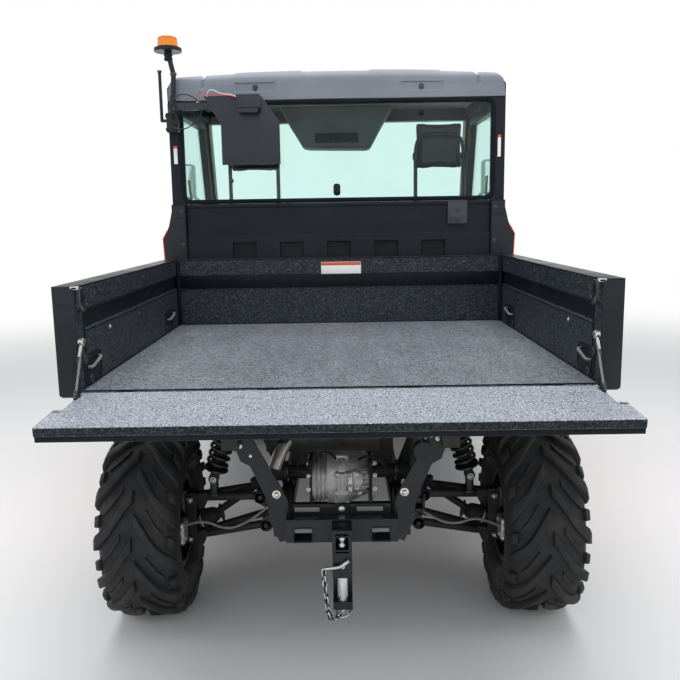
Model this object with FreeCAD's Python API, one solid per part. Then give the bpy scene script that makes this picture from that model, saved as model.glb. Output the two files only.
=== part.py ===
import FreeCAD, Part
import os
from math import cos, sin, tan, radians, pi
from FreeCAD import Vector

# Side by side utility vehicle, millimetres. +Y is forward, +X is the vehicle's right, +Z is up.
# The origin is on the ground, midway between the open tailgate's edge and the bumper's front.

# Wheels and axles
wheelbase = 2050.0
front_overhang = 500.0
track = 1330.0
tyre_radius = 325.0
rear_tyre_width = 265.0
front_tyre_width = 225.0
tyre_wall = 16.0
lug_height = 18.0
lug_count = 13
shoulder_set_in = 24.0
shoulder_drop = 26.0
bead_radius = 152.0
flange_height = 13.0
rim_wall = 6.0
rear_rim_half = 101.0
front_rim_half = 80.0
disc_offset = 25.0
disc_thickness = 9.0
disc_hole_radius = 17.0
disc_hole_circle = 105.0
disc_hole_count = 8
hub_radius = 45.0
stub_radius = 17.5
brake_radius = 95.0
brake_thickness = 6.0
brake_gap = 5.0

# Bed
bed_behind_axle = 480.0
bed_floor_top = 908.0
bed_floor_thickness = 30.0
bed_inner_length = 1315.0
bed_inner_half = 729.0
bed_wall = 63.0
bed_wall_height = 293.0
bed_front_wall = 45.0
bed_skirt = 20.0
bed_band_top = 70.0
bed_band_mid = 59.0
bed_band_depth = 8.0
bed_post_length = 60.0
bed_rail_x = 330.0
bed_rail_width = 40.0
bed_rail_height = 60.0
bed_hinge_ahead = 110.0
bed_hinge_drop = 70.0
bed_hinge_pin = 10.0

# Tailgate
gate_droop = 3.94
gate_length = 295.0
gate_above_pin = 10.0
gate_thickness = 39.0
gate_seal_gap = 5.0
gate_inner_half = 719.0
gate_outer_half = 744.0
gate_step_at = 155.0
gate_pin_radius = 4.0
gate_striker_at = 262.0
gate_band_height = 17.0
gate_band_depth = 5.0
cable_post_height = 137.0
cable_gate_at = 53.0
cable_radius = 3.0

# Lift cylinder, its pivots measured from the bed's rear edge and from the ground
lift_x = 250.0
lift_base_ahead = 340.0
lift_base_height = 440.0
lift_eye_ahead = 310.0
lift_eye_height = 820.0
lift_barrel_radius = 26.0
lift_rod_radius = 11.0
lift_pin_radius = 8.0
lift_eye_bore = 20.0
lift_barrel_length = 250.0

# Frame
rail_x = 200.0
rail_width = 50.0
rail_bottom = 330.0
rail_height = 50.0
leg_top = 455.0
leg_height = 50.0
leg_inner = 175.0
leg_outer = 212.0
upper_rail_x = 330.0
upper_rail_width = 50.0
upper_rail_bottom = 700.0
upper_rail_height = 60.0
running_gap = 0.05
seat_gap = 0.3

# Hitch
plate_thickness = 8.0
plate_ahead = 125.0
crossbar_half = 150.0
crossbar_bottom = 411.0
crossbar_height = 72.0
crossbar_depth = 60.0
pocket_width = 54.0
pocket_height = 38.0
pocket_x = 118.0
hitch_width = 58.0
hitch_depth = 70.0
hitch_top = 478.0
hitch_bottom = 230.0
hitch_jaw_top = 330.0
hitch_jaw_low = 254.0
hitch_pin_radius = 12.7

# Suspension
king_x = 560.0
knuckle_inner_x = 525.0
knuckle_radius = 34.0
knuckle_gap = 6.0
stub_inner_x = 505.0
rear_disc_x = 566.0
front_disc_x = 590.0
arm_rise = 83.0
arm_drop = 61.0
upper_arm_inner_x = 283.0
upper_arm_inner_z = 429.0
lower_arm_inner_x = 265.0
lower_arm_inner_z = 327.0
arm_half_spread = 55.0
arm_tube = 14.0
bush_radius = 18.0
shock_coils = 7
steer_arm = 110.0
rack_height = 300.0
steer_arm_bottom = 315.0
rack_radius = 12.0
rod_end_half = 10.0

# Cab
cab_gap = 60.0
cab_wall = 70.0
cab_upper_half = 757.0
cab_lower_half = 804.0
cab_shoulder_low = 1296.0
cab_shoulder_high = 1386.0
cab_floor_height = 400.0
cab_base = 880.0
roof_height = 108.0
roof_crown = 18.0
pillar = 48.0
sill_height = 60.0
rear_header_bottom = 1902.0
panel_top = 1448.0
window_half = 714.0
window_body_half = 702.7
window_seal = 17.0
glass_thickness = 5.0
header_back_from_axle = 290.0
front_header_drop = 9.0
cowl_height = 1200.0
a_post_behind_axle = 80.0
a_post_depth = 50.0
arch_radius = 405.0
arch_top = 745.0
dash_height = 340.0

seat_base_top = 700.0
seat_top = 800.0
seat_back_top = 1410.0
headrest_rise = 178.0
headrest_height = 234.0
seat_places = (-395.0, 425.0)
headrest_places = (-392.0, 476.0)

# Doors
door_gap = 10.0
door_outer_half = 815.0
door_thickness = 45.0
door_bottom = 480.0
door_sash = 35.0
door_belt = 1180.0
hinge_radius = 9.0
hinge_pin = 5.0
hinge_heights = (830.0, 1130.0)

# Front
nose_half = 430.0
nose_drop = 34.0
nose_front_drop = 188.0
lamp_drop = 132.0
nose_bottom = 560.0
nose_floor = 760.0
bonnet_half = 395.0
bonnet_thickness = 18.0
bonnet_hinge_drop = 58.0
bonnet_gap = 8.0
bumper_tube = 24.0

# Chain and cords
chain_wire = 4.0
chain_pitch = 19.0
brake_hose_radius = 4.5
lamp_wire_radius = 2.5

# Things on the cab
mirror_bottom = 1500.0
mirror_height = 190.0
board_ahead = -120.0
clamp_drop = 139.0
clamp_height = 83.0
arm_above_clamp = 4.0
arm_height = 30.0
beacon_x = -735.0
beacon_rise = 266.0
beacon_base_radius = 59.0
beacon_lens_radius = 46.0
beacon_lens_height = 46.0

# Heights that follow from others
header_bottom = rear_header_bottom - front_header_drop
dash_bottom = cowl_height - dash_height
nose_top_front = cowl_height - nose_front_drop
lamp_top = nose_top_front - lamp_drop
clamp_bottom = rear_header_bottom - clamp_drop
clamp_top = clamp_bottom + clamp_height
arm_bottom = clamp_top + arm_above_clamp
beacon_base_height = clamp_top + beacon_rise
roof_rear_height = rear_header_bottom + roof_height
door_top = header_bottom + 3
bonnet_hinge_z = cowl_height - bonnet_hinge_drop

# Places along the vehicle
gate_hinge_behind = gate_seal_gap + gate_above_pin
gate_reach = (gate_hinge_behind + gate_length * cos(radians(gate_droop))
              + gate_above_pin * sin(radians(gate_droop)))
overall_length = front_overhang + wheelbase + bed_behind_axle + gate_reach
front_end = overall_length / 2
front_axle = front_end - front_overhang
rear_axle = front_axle - wheelbase
bed_rear = rear_axle - bed_behind_axle
bed_front_inner = bed_rear + bed_inner_length
bed_front = bed_front_inner + bed_front_wall
cab_rear = bed_front + cab_gap
cab_inner = cab_rear + cab_wall
wheel_z = tyre_radius
wheel_x = track / 2
bed_floor_low = bed_floor_top - bed_floor_thickness
bed_rail_low = bed_floor_low - bed_rail_height
bed_rail_top_height = bed_floor_top + bed_wall_height
bed_outer_half = bed_inner_half + bed_wall
bed_hinge_y = bed_rear + bed_hinge_ahead
bed_hinge_z = bed_floor_top - bed_hinge_drop
gate_hinge_y = bed_rear - gate_hinge_behind
gate_hinge_z = bed_floor_top - gate_above_pin
rail_top = rail_bottom + rail_height
upper_rail_top = upper_rail_bottom + upper_rail_height
a_post_rear = front_axle - a_post_behind_axle
a_post_front = a_post_rear + a_post_depth
header_y = front_axle - header_back_from_axle
door_hinge_x = door_outer_half + hinge_radius + 1
door_hinge_y = a_post_rear - 4
door_rear = cab_inner + door_gap
door_front = a_post_rear - door_gap
sill_top = cab_floor_height + sill_height
floor_front = front_axle - arch_radius - 5
toe_front = front_axle - 90


# Helpers
def box(x0, x1, y0, y1, z0, z1):
    return Part.makeBox(abs(x1 - x0), abs(y1 - y0), abs(z1 - z0),
                        Vector(min(x0, x1), min(y0, y1), min(z0, z1)))


def rod(start, end, radius, end_radius=None):
    a = Vector(*start)
    b = Vector(*end)
    if end_radius is None:
        return Part.makeCylinder(radius, (b - a).Length, a, b - a)
    return Part.makeCone(radius, end_radius, (b - a).Length, a, b - a)


def pipe(start, end, radius, bore):
    a = Vector(*start)
    b = Vector(*end)
    extra = (b - a).normalize() * 2
    inner = rod(tuple(a - extra), tuple(b + extra), bore)
    return rod(start, end, radius).cut(inner)


def tube_path(points, radius):
    """Round bar through the points, with a ball at each bend."""
    pieces = [rod(points[i], points[i + 1], radius) for i in range(len(points) - 1)]
    pieces += [Part.makeSphere(radius, Vector(*p)) for p in points[1:-1]]
    return join(*pieces)


def prism(points, axis, low, high):
    """Polygon given in the two other axes, pushed along the named axis."""
    place = {"x": lambda a, b: Vector(low, a, b),
             "y": lambda a, b: Vector(a, low, b),
             "z": lambda a, b: Vector(a, b, low)}[axis]
    way = {"x": Vector(1, 0, 0), "y": Vector(0, 1, 0), "z": Vector(0, 0, 1)}[axis]
    wire = Part.makePolygon([place(a, b) for a, b in points + points[:1]])
    return Part.Face(wire).extrude(way * (high - low))


def turned(profile, centre):
    """Closed profile of (x, radius) points turned about the X axis through the centre."""
    cx, cy, cz = centre
    points = [Vector(cx + x, cy, cz + r) for x, r in profile + profile[:1]]
    face = Part.Face(Part.makePolygon(points))
    return face.revolve(Vector(cx, cy, cz), Vector(1, 0, 0), 360)


def join(*shapes):
    whole = shapes[0]
    if len(shapes) > 1:
        whole = whole.fuse(list(shapes[1:]))
    return whole.removeSplitter()


def apart(*shapes):
    """The shapes as separate solids that meet face to face: each gives way to those before it."""
    out = []
    for shape in shapes:
        near = [other for other in out if other.BoundBox.intersect(shape.BoundBox)]
        rest = shape.cut(near) if near else shape
        out += rest.Solids
    return out


def from_triangles(points, triangles):
    """Solid from its corners and the triangles between them."""
    faces = [Part.Face(Part.makePolygon([points[i], points[j], points[k], points[i]]))
             for i, j, k in triangles]
    return Part.makeSolid(Part.makeShell(faces))


def cord(name, points, radius):
    """Round cord of straight runs joined by tangent arcs, each as large as its runs allow."""
    places = [Vector(*p) for p in points]
    edges = []
    radii = []
    start = places[0]
    for before, corner, after in zip(places, places[1:], places[2:]):
        into = (corner - before).normalize()
        out = (after - corner).normalize()
        half_turn = into.getAngle(out) / 2
        set_back = 0.45 * min((corner - before).Length, (after - corner).Length)
        bend = set_back / tan(half_turn)
        way = (out - into).normalize()
        middle = corner + way * (bend / cos(half_turn) - bend)
        edges.append(Part.LineSegment(start, corner - into * set_back).toShape())
        edges.append(Part.Arc(corner - into * set_back, middle, corner + out * set_back).toShape())
        start = corner + out * set_back
        radii.append(round(bend))
    edges.append(Part.LineSegment(start, places[-1]).toShape())
    path = Part.Wire(edges)
    ring = Part.Wire(Part.makeCircle(radius, places[0], places[1] - places[0]))
    tube = path.makePipeShell([ring], True, False)
    print(name, "length", round(path.Length, 1), "radii", radii,
          "volume share", round(tube.Volume / (pi * radius * radius * path.Length), 4))
    return tube


def mirrored(shape):
    return shape.mirror(Vector(0, 0, 0), Vector(1, 0, 0))


def pair(shape):
    return [mirrored(shape), shape]


def save(node, *solids):
    shape = solids[0] if len(solids) == 1 else Part.makeCompound(list(solids))
    shape.exportStep("parts/" + node + ".step")
    print(node, len(shape.Solids), shape.isValid(), round(shape.Volume / 1e6, 2))


# Frame
def main_frame():
    """Rails, legs, uprights, outriggers and cross members, each a straight piece."""
    front_rail = front_end - 90
    upper_front = cab_rear - 30
    half_width = rail_width / 2
    upper_half = upper_rail_width / 2
    sill_inner = cab_lower_half - pillar
    rails = []
    parts = []
    for side in (-1, 1):
        x = side * rail_x
        rails.append(box(x - half_width, x + half_width, rear_axle - 90, front_rail,
                         rail_bottom, rail_top))
        parts.append(box(x - half_width, x + half_width, rear_axle - 90, rear_axle - 50,
                         rail_top, leg_top))
        parts.append(box(side * leg_inner, side * leg_outer,
                         bed_rear + plate_ahead + plate_thickness + seat_gap, rear_axle - 90,
                         leg_top - leg_height, leg_top))
        x = side * upper_rail_x
        rails.append(box(x - upper_half, x + upper_half, bed_rear + plate_ahead - 45,
                         upper_front, upper_rail_bottom, upper_rail_top))
        # Uprights between the lower and upper rails
        for y in (rear_axle + 170, cab_rear - 90):
            foot = [(side * (rail_x - 20), rail_top), (side * (rail_x + 20), rail_top),
                    (side * (upper_rail_x + 20), upper_rail_bottom),
                    (side * (upper_rail_x - 20), upper_rail_bottom)]
            parts.append(prism(foot, "y", y, y + 40))
        # Outriggers to the sills
        for y in (cab_rear + 30, floor_front - 70):
            parts.append(box(side * (rail_x + half_width), side * (cab_lower_half - 4), y, y + 50,
                             rail_bottom + 5, rail_top))
            parts.append(box(side * (sill_inner + 1), side * (cab_lower_half - 4),
                             y, y + 50, rail_top, cab_floor_height - seat_gap))
    # Cross members
    inner = rail_x - half_width
    for y in (rear_axle - 20, cab_rear - 90, cab_rear + 40, floor_front - 60, front_axle + 180):
        parts.append(box(-inner, inner, y, y + 40, rail_bottom + 5, rail_top - 20))
    inner = upper_rail_x - upper_half
    for y in (rear_axle + 170, cab_rear - 90):
        parts.append(box(-inner, inner, y, y + 40, upper_rail_bottom + 10, upper_rail_top - 5))
    return apart(*rails, *parts, *front_towers(), *hinge_ears(), *arm_brackets(), *shock_brackets(),
                 lift_bracket(), *transaxle_mounts(), rack_housing())


def front_towers():
    """Leaning legs over the front axle that carry the shock absorbers and the nose."""
    top = nose_floor - seat_gap
    parts = []
    for side in (-1, 1):
        for y in (front_axle - 60, front_axle + 200):
            tower = [(side * (rail_x - 20), rail_top), (side * (rail_x + 20), rail_top),
                     (side * 330, top), (side * 290, top)]
            parts.append(prism(tower, "y", y, y + 35))
        parts.append(box(side * 290, side * 330, front_axle - 25, front_axle + 200, top - 45, top))
    parts.append(box(-300, 300, front_axle + 205, front_axle + 230, top - 40, top - 10))
    return parts


def hinge_ears():
    """Ears on the upper rails with the pin of the bed's hinge."""
    out = []
    reach = bed_rail_width / 2 + 11
    ear_radius = bed_hinge_pin + 12
    for side in (-1, 1):
        ears = []
        for offset in (-reach, reach):
            x = side * bed_rail_x + offset
            ears.append(box(x - 4, x + 4, bed_hinge_y - ear_radius, bed_hinge_y + ear_radius,
                            upper_rail_top, bed_hinge_z))
            ears.append(rod((x - 4, bed_hinge_y, bed_hinge_z), (x + 4, bed_hinge_y, bed_hinge_z),
                            ear_radius))
        ears.append(rod((side * bed_rail_x - reach - 8, bed_hinge_y, bed_hinge_z),
                        (side * bed_rail_x + reach + 8, bed_hinge_y, bed_hinge_z), bed_hinge_pin))
        ears.append(box(side * bed_rail_x - reach - 4, side * bed_rail_x + reach + 4,
                        bed_hinge_y - ear_radius, bed_hinge_y + ear_radius,
                        upper_rail_top, upper_rail_top + 4))
        out.append(join(*ears))
    return out


def arm_brackets():
    """Cheeks beside the lower rails that hold the inner ends of the suspension arms."""
    face = rail_x + rail_width / 2
    waist = [(face, rail_top - 2), (rail_x + 40, rail_top)]
    lower = [(face, rail_bottom + 4), (lower_arm_inner_x + 16, rail_bottom - 20),
             (lower_arm_inner_x + 16, rail_top - 34), waist[1], waist[0]]
    upper = [waist[0], waist[1], (upper_arm_inner_x + 16, upper_arm_inner_z - 14),
             (upper_arm_inner_x + 16, upper_arm_inner_z + 14),
             (upper_arm_inner_x - 16, upper_arm_inner_z + 16)]
    cheeks = []
    for axle in (rear_axle, front_axle):
        for end in (-1, 1):
            for edge in (-1, 1):
                y = axle + end * arm_half_spread + edge * (bush_radius + 4)
                for outline in (lower, upper):
                    cheeks += pair(prism(outline, "y", y - 3, y + 3))
    return cheeks


def shock_top(axle):
    return (upper_rail_x + 52, axle - 30, 722.0)


def shock_brackets():
    """Ears for the tops of the shock absorbers."""
    out = []
    for axle, wall in ((rear_axle, upper_rail_x + upper_rail_width / 2), (front_axle, 330)):
        for side in (-1, 1):
            x, y, z = shock_top(axle)
            ears = [rod((side * x, y - 27, z), (side * x, y + 27, z), 6)]
            for edge in (-1, 1):
                ears.append(box(side * wall, side * (x + 14), y + edge * 17, y + edge * 23,
                                z - 16, z + 14))
            out.append(join(*ears))
    return out


def lift_bracket():
    """Fork beside the right leg for the base of the lift cylinder."""
    y = bed_rear + lift_base_ahead
    z = lift_base_height
    low = leg_top - leg_height
    block = box(leg_outer, lift_x + 28, y - 24, y + 24, low, low + 10)
    ears = []
    for edge in (-1, 1):
        ears.append(box(lift_x + edge * 20, lift_x + edge * 28, y - 18, y + 18, low, z))
        ears.append(rod((lift_x + edge * 20, y, z), (lift_x + edge * 28, y, z), 18))
    pin = rod((lift_x - 32, y, z), (lift_x + 32, y, z), lift_pin_radius)
    return join(block, *ears, pin)


# Hitch
def hitch_frame():
    y0 = bed_rear + plate_ahead
    # Outline of the right side plate: x, height
    outline = [(332, upper_rail_bottom + 30), (306, 653), (277, 636), (227, 522), (224, 460),
               (193, 390), (crossbar_half + 1, 400), (crossbar_half + 4, 440),
               (166, 521), (183, 564), (272, upper_rail_bottom + 30)]
    plate = prism(outline, "y", y0, y0 + plate_thickness)
    rail = upper_rail_x - upper_rail_width / 2 - seat_gap
    plate = plate.cut(box(rail, rail + 100, y0 - 5, y0 + 20, upper_rail_bottom - seat_gap,
                          upper_rail_top + 5))
    socket = rod((246, y0 - 38, 688), (246, y0 + 1, 688), 26)
    y_bar = y0 + plate_thickness - crossbar_depth
    bar = box(-crossbar_half - 20, crossbar_half + 20, y_bar, y0 + plate_thickness,
              crossbar_bottom, crossbar_bottom + crossbar_height)
    for side in (-1, 1):
        x = side * pocket_x
        bar = bar.cut(box(x - pocket_width / 2, x + pocket_width / 2, y_bar - 5, y0 + 20,
                          crossbar_bottom + 5, crossbar_bottom + 5 + pocket_height))
    label_shelf = box(-crossbar_half, crossbar_half, y0 - 4, y0 + plate_thickness,
                      crossbar_bottom + crossbar_height, crossbar_bottom + crossbar_height + 30)
    return join(mirrored(plate), plate, bar, label_shelf, socket)


def pin_hitch():
    """Two jaws on a back plate under the crossbar, with the drop pin through both."""
    y_back = bed_rear + plate_ahead + plate_thickness - crossbar_depth - seat_gap
    y_front = y_back - hitch_depth
    half = hitch_width / 2
    cheek = 8
    back = box(-half, half, y_back - 14, y_back, hitch_bottom, hitch_top)
    head = box(-half, half, y_front, y_back, hitch_jaw_top, hitch_top)
    hollow = box(-half + cheek, half - cheek, y_front - 5, y_back - 14, hitch_jaw_top + 78,
                 hitch_top - 10)
    low_jaw = box(-half, half, y_front, y_back, hitch_bottom, hitch_jaw_low)
    y_pin = y_front + hitch_depth / 2 - 7
    pin = rod((0, y_pin, hitch_bottom - 26), (0, y_pin, hitch_jaw_top + 40), hitch_pin_radius)
    body = join(back, head.cut(hollow), low_jaw, pin)
    z = hitch_jaw_top + 34
    handle = tube_path([(half - 12, y_front - 8, z + 24), (-6, y_front - 8, z + 4),
                        (-half - 28, y_front - 10, z)], 5.5)
    stem = rod((0, y_front - 8, z + 6), (0, y_front + 4, z + 6), 5.5)
    eye = (-half - 26, y_front - 10, z - 2)
    low_end = (-4, y_pin - 4, hitch_bottom - 20)
    return join(body, handle, stem, *hitch_chain(eye, low_end))


def hitch_chain(first, last):
    """Links from the handle's end down and back up to the foot of the pin."""
    x0, y0, z0 = first
    x1, y1, z1 = last
    low = z1 - 8
    path = [Vector(x0, y0, z0), Vector(x0 + 4, y0 - 3, z0 - 60), Vector(x0 + 9, y0 - 4, low + 38),
            Vector(x0 + 18, y0 + 2, low + 8), Vector(x0 + 36, y0 + 20, low - 2), Vector(x1, y1, z1)]
    spans = [(b - a).Length for a, b in zip(path, path[1:])]
    count = round(sum(spans) / chain_pitch)
    return [chain_link(path_point(path, (i + 0.5) / count), path_point(path, (i + 0.6) / count), i % 2)
            for i in range(count)]


def path_point(path, share):
    """Place at a share of the way along straight runs."""
    left = share * sum((b - a).Length for a, b in zip(path, path[1:]))
    for a, b in zip(path, path[1:]):
        run = (b - a).Length
        if left <= run:
            break
        left -= run
    return a + (b - a) * (left / run)


def chain_link(centre, towards, turned_flat):
    """One link round its hole, lengthwise along the chain, every other one turned a quarter."""
    half = chain_pitch / 2 + chain_wire * 0.9
    wide = chain_wire * 1.6
    w = chain_wire / 2
    link = box(-wide, wide, -w, w, -half, half)
    link = link.cut(box(-wide + chain_wire, wide - chain_wire, -w - 1, w + 1,
                        -half + chain_wire, half - chain_wire))
    if turned_flat:
        link.rotate(Vector(0, 0, 0), Vector(0, 0, 1), 90)
    way = (towards - centre).normalize()
    up = Vector(0, 0, 1)
    link.rotate(Vector(0, 0, 0), up.cross(way), up.getAngle(way) * 180 / pi)
    link.translate(centre)
    return link


# Suspension
def rear_arm(inner_x, inner_z, outer_x, outer_z):
    """A-shaped arm on the right: two tubes from the frame to one bush at the knuckle."""
    parts = []
    cuts = []
    for end in (-1, 1):
        y = rear_axle + end * arm_half_spread
        parts.append(rod((inner_x, y, inner_z), (outer_x, rear_axle + end * 8, outer_z), arm_tube))
        parts.append(rod((inner_x, y - bush_radius, inner_z),
                         (inner_x, y + bush_radius, inner_z), bush_radius))
    parts.append(rod((outer_x, rear_axle - 20, outer_z), (outer_x, rear_axle + 20, outer_z),
                     bush_radius))
    cuts.append(rod((outer_x, rear_axle - 60, outer_z), (outer_x, rear_axle + 60, outer_z),
                    6 + running_gap))
    arm = join(*parts)
    keep = box(0, outer_x + 60, rear_axle - 200, rear_axle + 200, 0, 1000)
    keep = keep.cut(box(outer_x - 60, outer_x + 60, rear_axle - 60, rear_axle - 20, 0, 1000))
    keep = keep.cut(box(outer_x - 60, outer_x + 60, rear_axle + 20, rear_axle + 60, 0, 1000))
    return arm.common(keep).cut(cuts[0])


def front_arm(inner_x, inner_z, outer_z):
    """A-shaped arm on the right that ends in an upright ball joint housing."""
    parts = []
    for end in (-1, 1):
        y = front_axle + end * arm_half_spread
        parts.append(rod((inner_x, y, inner_z), (king_x - 8, front_axle + end * 6, outer_z), arm_tube))
        parts.append(rod((inner_x, y - bush_radius, inner_z),
                         (inner_x, y + bush_radius, inner_z), bush_radius))
    parts.append(rod((king_x, front_axle, outer_z - 14), (king_x, front_axle, outer_z + 14),
                     bush_radius))
    arm = join(*parts)
    slab = box(king_x - 40, king_x + 40, front_axle - 40, front_axle + 40,
               outer_z - 14, outer_z + 14)
    rest = box(0, king_x - 40, front_axle - 200, front_axle + 200, 0, 1000)
    hole = rod((king_x, front_axle, outer_z - 40), (king_x, front_axle, outer_z + 40),
               8 + running_gap)
    return arm.common(join(slab, rest)).cut(hole)


def suspension_arms():
    rear = [rear_arm(upper_arm_inner_x, upper_arm_inner_z, king_x - 25, wheel_z + arm_rise),
            rear_arm(lower_arm_inner_x, lower_arm_inner_z, king_x - 20, wheel_z - arm_drop)]
    front = [front_arm(upper_arm_inner_x, upper_arm_inner_z, wheel_z + arm_rise),
             front_arm(lower_arm_inner_x, lower_arm_inner_z, wheel_z - arm_drop)]
    return [s for arm in rear for s in pair(arm)], [s for arm in front for s in pair(arm)]


def shock_absorber(axle):
    """Coil-over on the right, from a lug on the upper arm to the frame."""
    x1, y, z1 = shock_top(axle)
    x0 = 447.0
    z0 = 486.0
    top = Vector(x1, y, z1)
    low = Vector(x0, y, z0)
    way = (top - low).normalize()
    at = lambda d: tuple(low + way * d)
    length = (top - low).Length
    parts = [rod(at(4), at(36), 14), rod(at(length - 34), at(length - 4), 11),
             rod(at(38), at(length - 34), 27), rod(at(32), at(40), 42),
             rod(at(length - 36), at(length - 26), 42)]
    coil = (length - 76) / shock_coils
    for i in range(shock_coils):
        foot_at = 40 + coil * i
        parts.append(rod(at(foot_at + 1), at(foot_at + coil / 2), 29, 41))
        parts.append(rod(at(foot_at + coil / 2), at(foot_at + coil - 1), 41, 29))
    parts.append(rod((x0, y - 15, z0), (x0, y + 15, z0), 18))
    parts.append(rod((x1, y - 15, z1), (x1, y + 15, z1), 16))
    body = join(*parts)
    body = body.cut(rod((x1, y - 40, z1), (x1, y + 40, z1), 6 + running_gap))
    # The fork stands on the upper arm
    share = (x0 - 12 - upper_arm_inner_x) / (king_x - 8 - upper_arm_inner_x)
    foot = (upper_arm_inner_z + share * (wheel_z + arm_rise - upper_arm_inner_z)
            + arm_tube + 0.5 + seat_gap)
    fork = []
    for edge in (-1, 1):
        fork.append(box(x0 - 12, x0 + 12, y + edge * 15, y + edge * 21, foot, z0 + 12))
    fork.append(box(x0 - 12, x0 + 12, y - 21, y + 21, foot, foot + 8))
    return join(body, *fork)


def knuckle_tube(y, disc_x):
    """Bearing tube of a right knuckle, and the drill for the wheel's stub."""
    tube = rod((knuckle_inner_x, y, wheel_z), (disc_x - knuckle_gap, y, wheel_z), knuckle_radius)
    drill = rod((stub_inner_x - 50, y, wheel_z), (disc_x + 50, y, wheel_z), stub_radius + running_gap)
    return tube, drill


def rear_knuckle():
    """Right rear knuckle: bearing tube, two cheeks for the arm bolts, brake caliper."""
    y = rear_axle
    tube, drill = knuckle_tube(y, rear_disc_x)
    parts = [tube]
    for edge in (-1, 1):
        y0 = y + edge * 22
        outline = [(515, wheel_z - arm_drop - 20), (king_x - 4, wheel_z - arm_drop - 20),
                   (king_x - 4, wheel_z + arm_rise + 22), (515, wheel_z + arm_rise + 22)]
        parts.append(prism(outline, "y", min(y0, y0 + edge * 8), max(y0, y0 + edge * 8)))
    for x, z in ((king_x - 25, wheel_z + arm_rise), (king_x - 20, wheel_z - arm_drop)):
        parts.append(rod((x, y - 36, z), (x, y + 36, z), 6))
        parts.append(rod((x, y - 40, z), (x, y - 30, z), 11))
    return join(*parts, *caliper_parts(y, rear_disc_x, -1)).cut(drill)


def caliper_parts(y, disc_x, way):
    """Caliper astride the brake disc, behind or ahead of the axle."""
    inner = disc_x - brake_gap
    outer = disc_x + brake_thickness + brake_gap
    near = y + way * 60
    far = y + way * (brake_radius + 27)
    edge = y + way * (brake_radius + brake_gap + 2)
    return [box(inner - 18, inner, near, far, wheel_z - 42, wheel_z + 30),
            box(outer, outer + 16, near, far, wheel_z - 42, wheel_z + 30),
            box(inner - 18, outer + 16, edge, far, wheel_z - 42, wheel_z + 30),
            box(inner - 16, inner - 4, y, near, wheel_z - 24, wheel_z + 24)]


def front_knuckle():
    """Right front knuckle with upright pins, steering arm behind and brake caliper ahead."""
    y = front_axle
    upper = wheel_z + arm_rise
    lower = wheel_z - arm_drop
    tube, drill = knuckle_tube(y, front_disc_x)
    parts = [tube]
    parts.append(box(king_x - 26, king_x + 9, y - 14, y + 14, lower + 15.5, upper - 15.5))
    parts.append(rod((king_x, y, upper - 30), (king_x, y, upper + 20), 8))
    parts.append(rod((king_x, y, lower - 20), (king_x, y, lower + 30), 8))
    # Steering arm behind the axle, with the stud over the tie rod's eye
    parts.append(box(king_x - 10.5, king_x + 10.5, y - steer_arm - 10, y, steer_arm_bottom,
                     steer_arm_bottom + 10))
    parts.append(rod((king_x, y - steer_arm, rack_height + rod_end_half + 1.5),
                     (king_x, y - steer_arm, steer_arm_bottom + 2), 8))
    return join(*parts, *caliper_parts(y, front_disc_x, 1)).cut(drill)


# Wheels
def rim(axle, half, disc_x):
    """Right wheel's rim with its hub, brake disc and stub shaft."""
    centre = (wheel_x, axle, wheel_z)
    inner = bead_radius - rim_wall
    lip = bead_radius + flange_height
    face = disc_offset + disc_thickness
    barrel = [(-half, inner), (half, inner), (half, lip), (half - 7, lip), (half - 7, bead_radius),
              (-half + 7, bead_radius), (-half + 7, lip), (-half, lip)]
    disc = [(disc_offset, 0), (face, 0), (face + 8, 60), (face, inner + 2),
            (disc_offset, inner + 2), (disc_offset + 6, 60)]
    hub_in = disc_x - wheel_x
    hub = [(hub_in, 0), (face + 12, 0), (face + 12, 26), (disc_offset + 2, hub_radius),
           (hub_in + brake_thickness, hub_radius), (hub_in + brake_thickness, brake_radius),
           (hub_in, brake_radius)]
    stub_in = stub_inner_x - wheel_x
    stub = [(stub_in, 0), (hub_in + 5, 0), (hub_in + 5, stub_radius), (stub_in, stub_radius)]
    shape = join(turned(barrel, centre), turned(disc, centre), turned(hub, centre),
                 turned(stub, centre))
    for i in range(disc_hole_count):
        a = 2 * pi * i / disc_hole_count
        y = axle + disc_hole_circle * cos(a)
        z = wheel_z + disc_hole_circle * sin(a)
        shape = shape.cut(rod((wheel_x + disc_offset - 20, y, z), (wheel_x + face + 30, y, z),
                              disc_hole_radius))
    return shape


def tyre(axle, width, half):
    """Right tyre: a hollow wall in flat facets, its tread a run of long slanting lugs on each side."""
    corners = []
    middles, linings, triangles = zip(*[tyre_side(axle, width / 2, half, side, corners)
                                        for side in (1, -1)])
    # The tread's middle and the lining under it join the two sides
    joints = band(middles[1], middles[0]) + band(linings[0], linings[1])
    return from_triangles(corners, triangles[0] + triangles[1] + joints)


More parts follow.
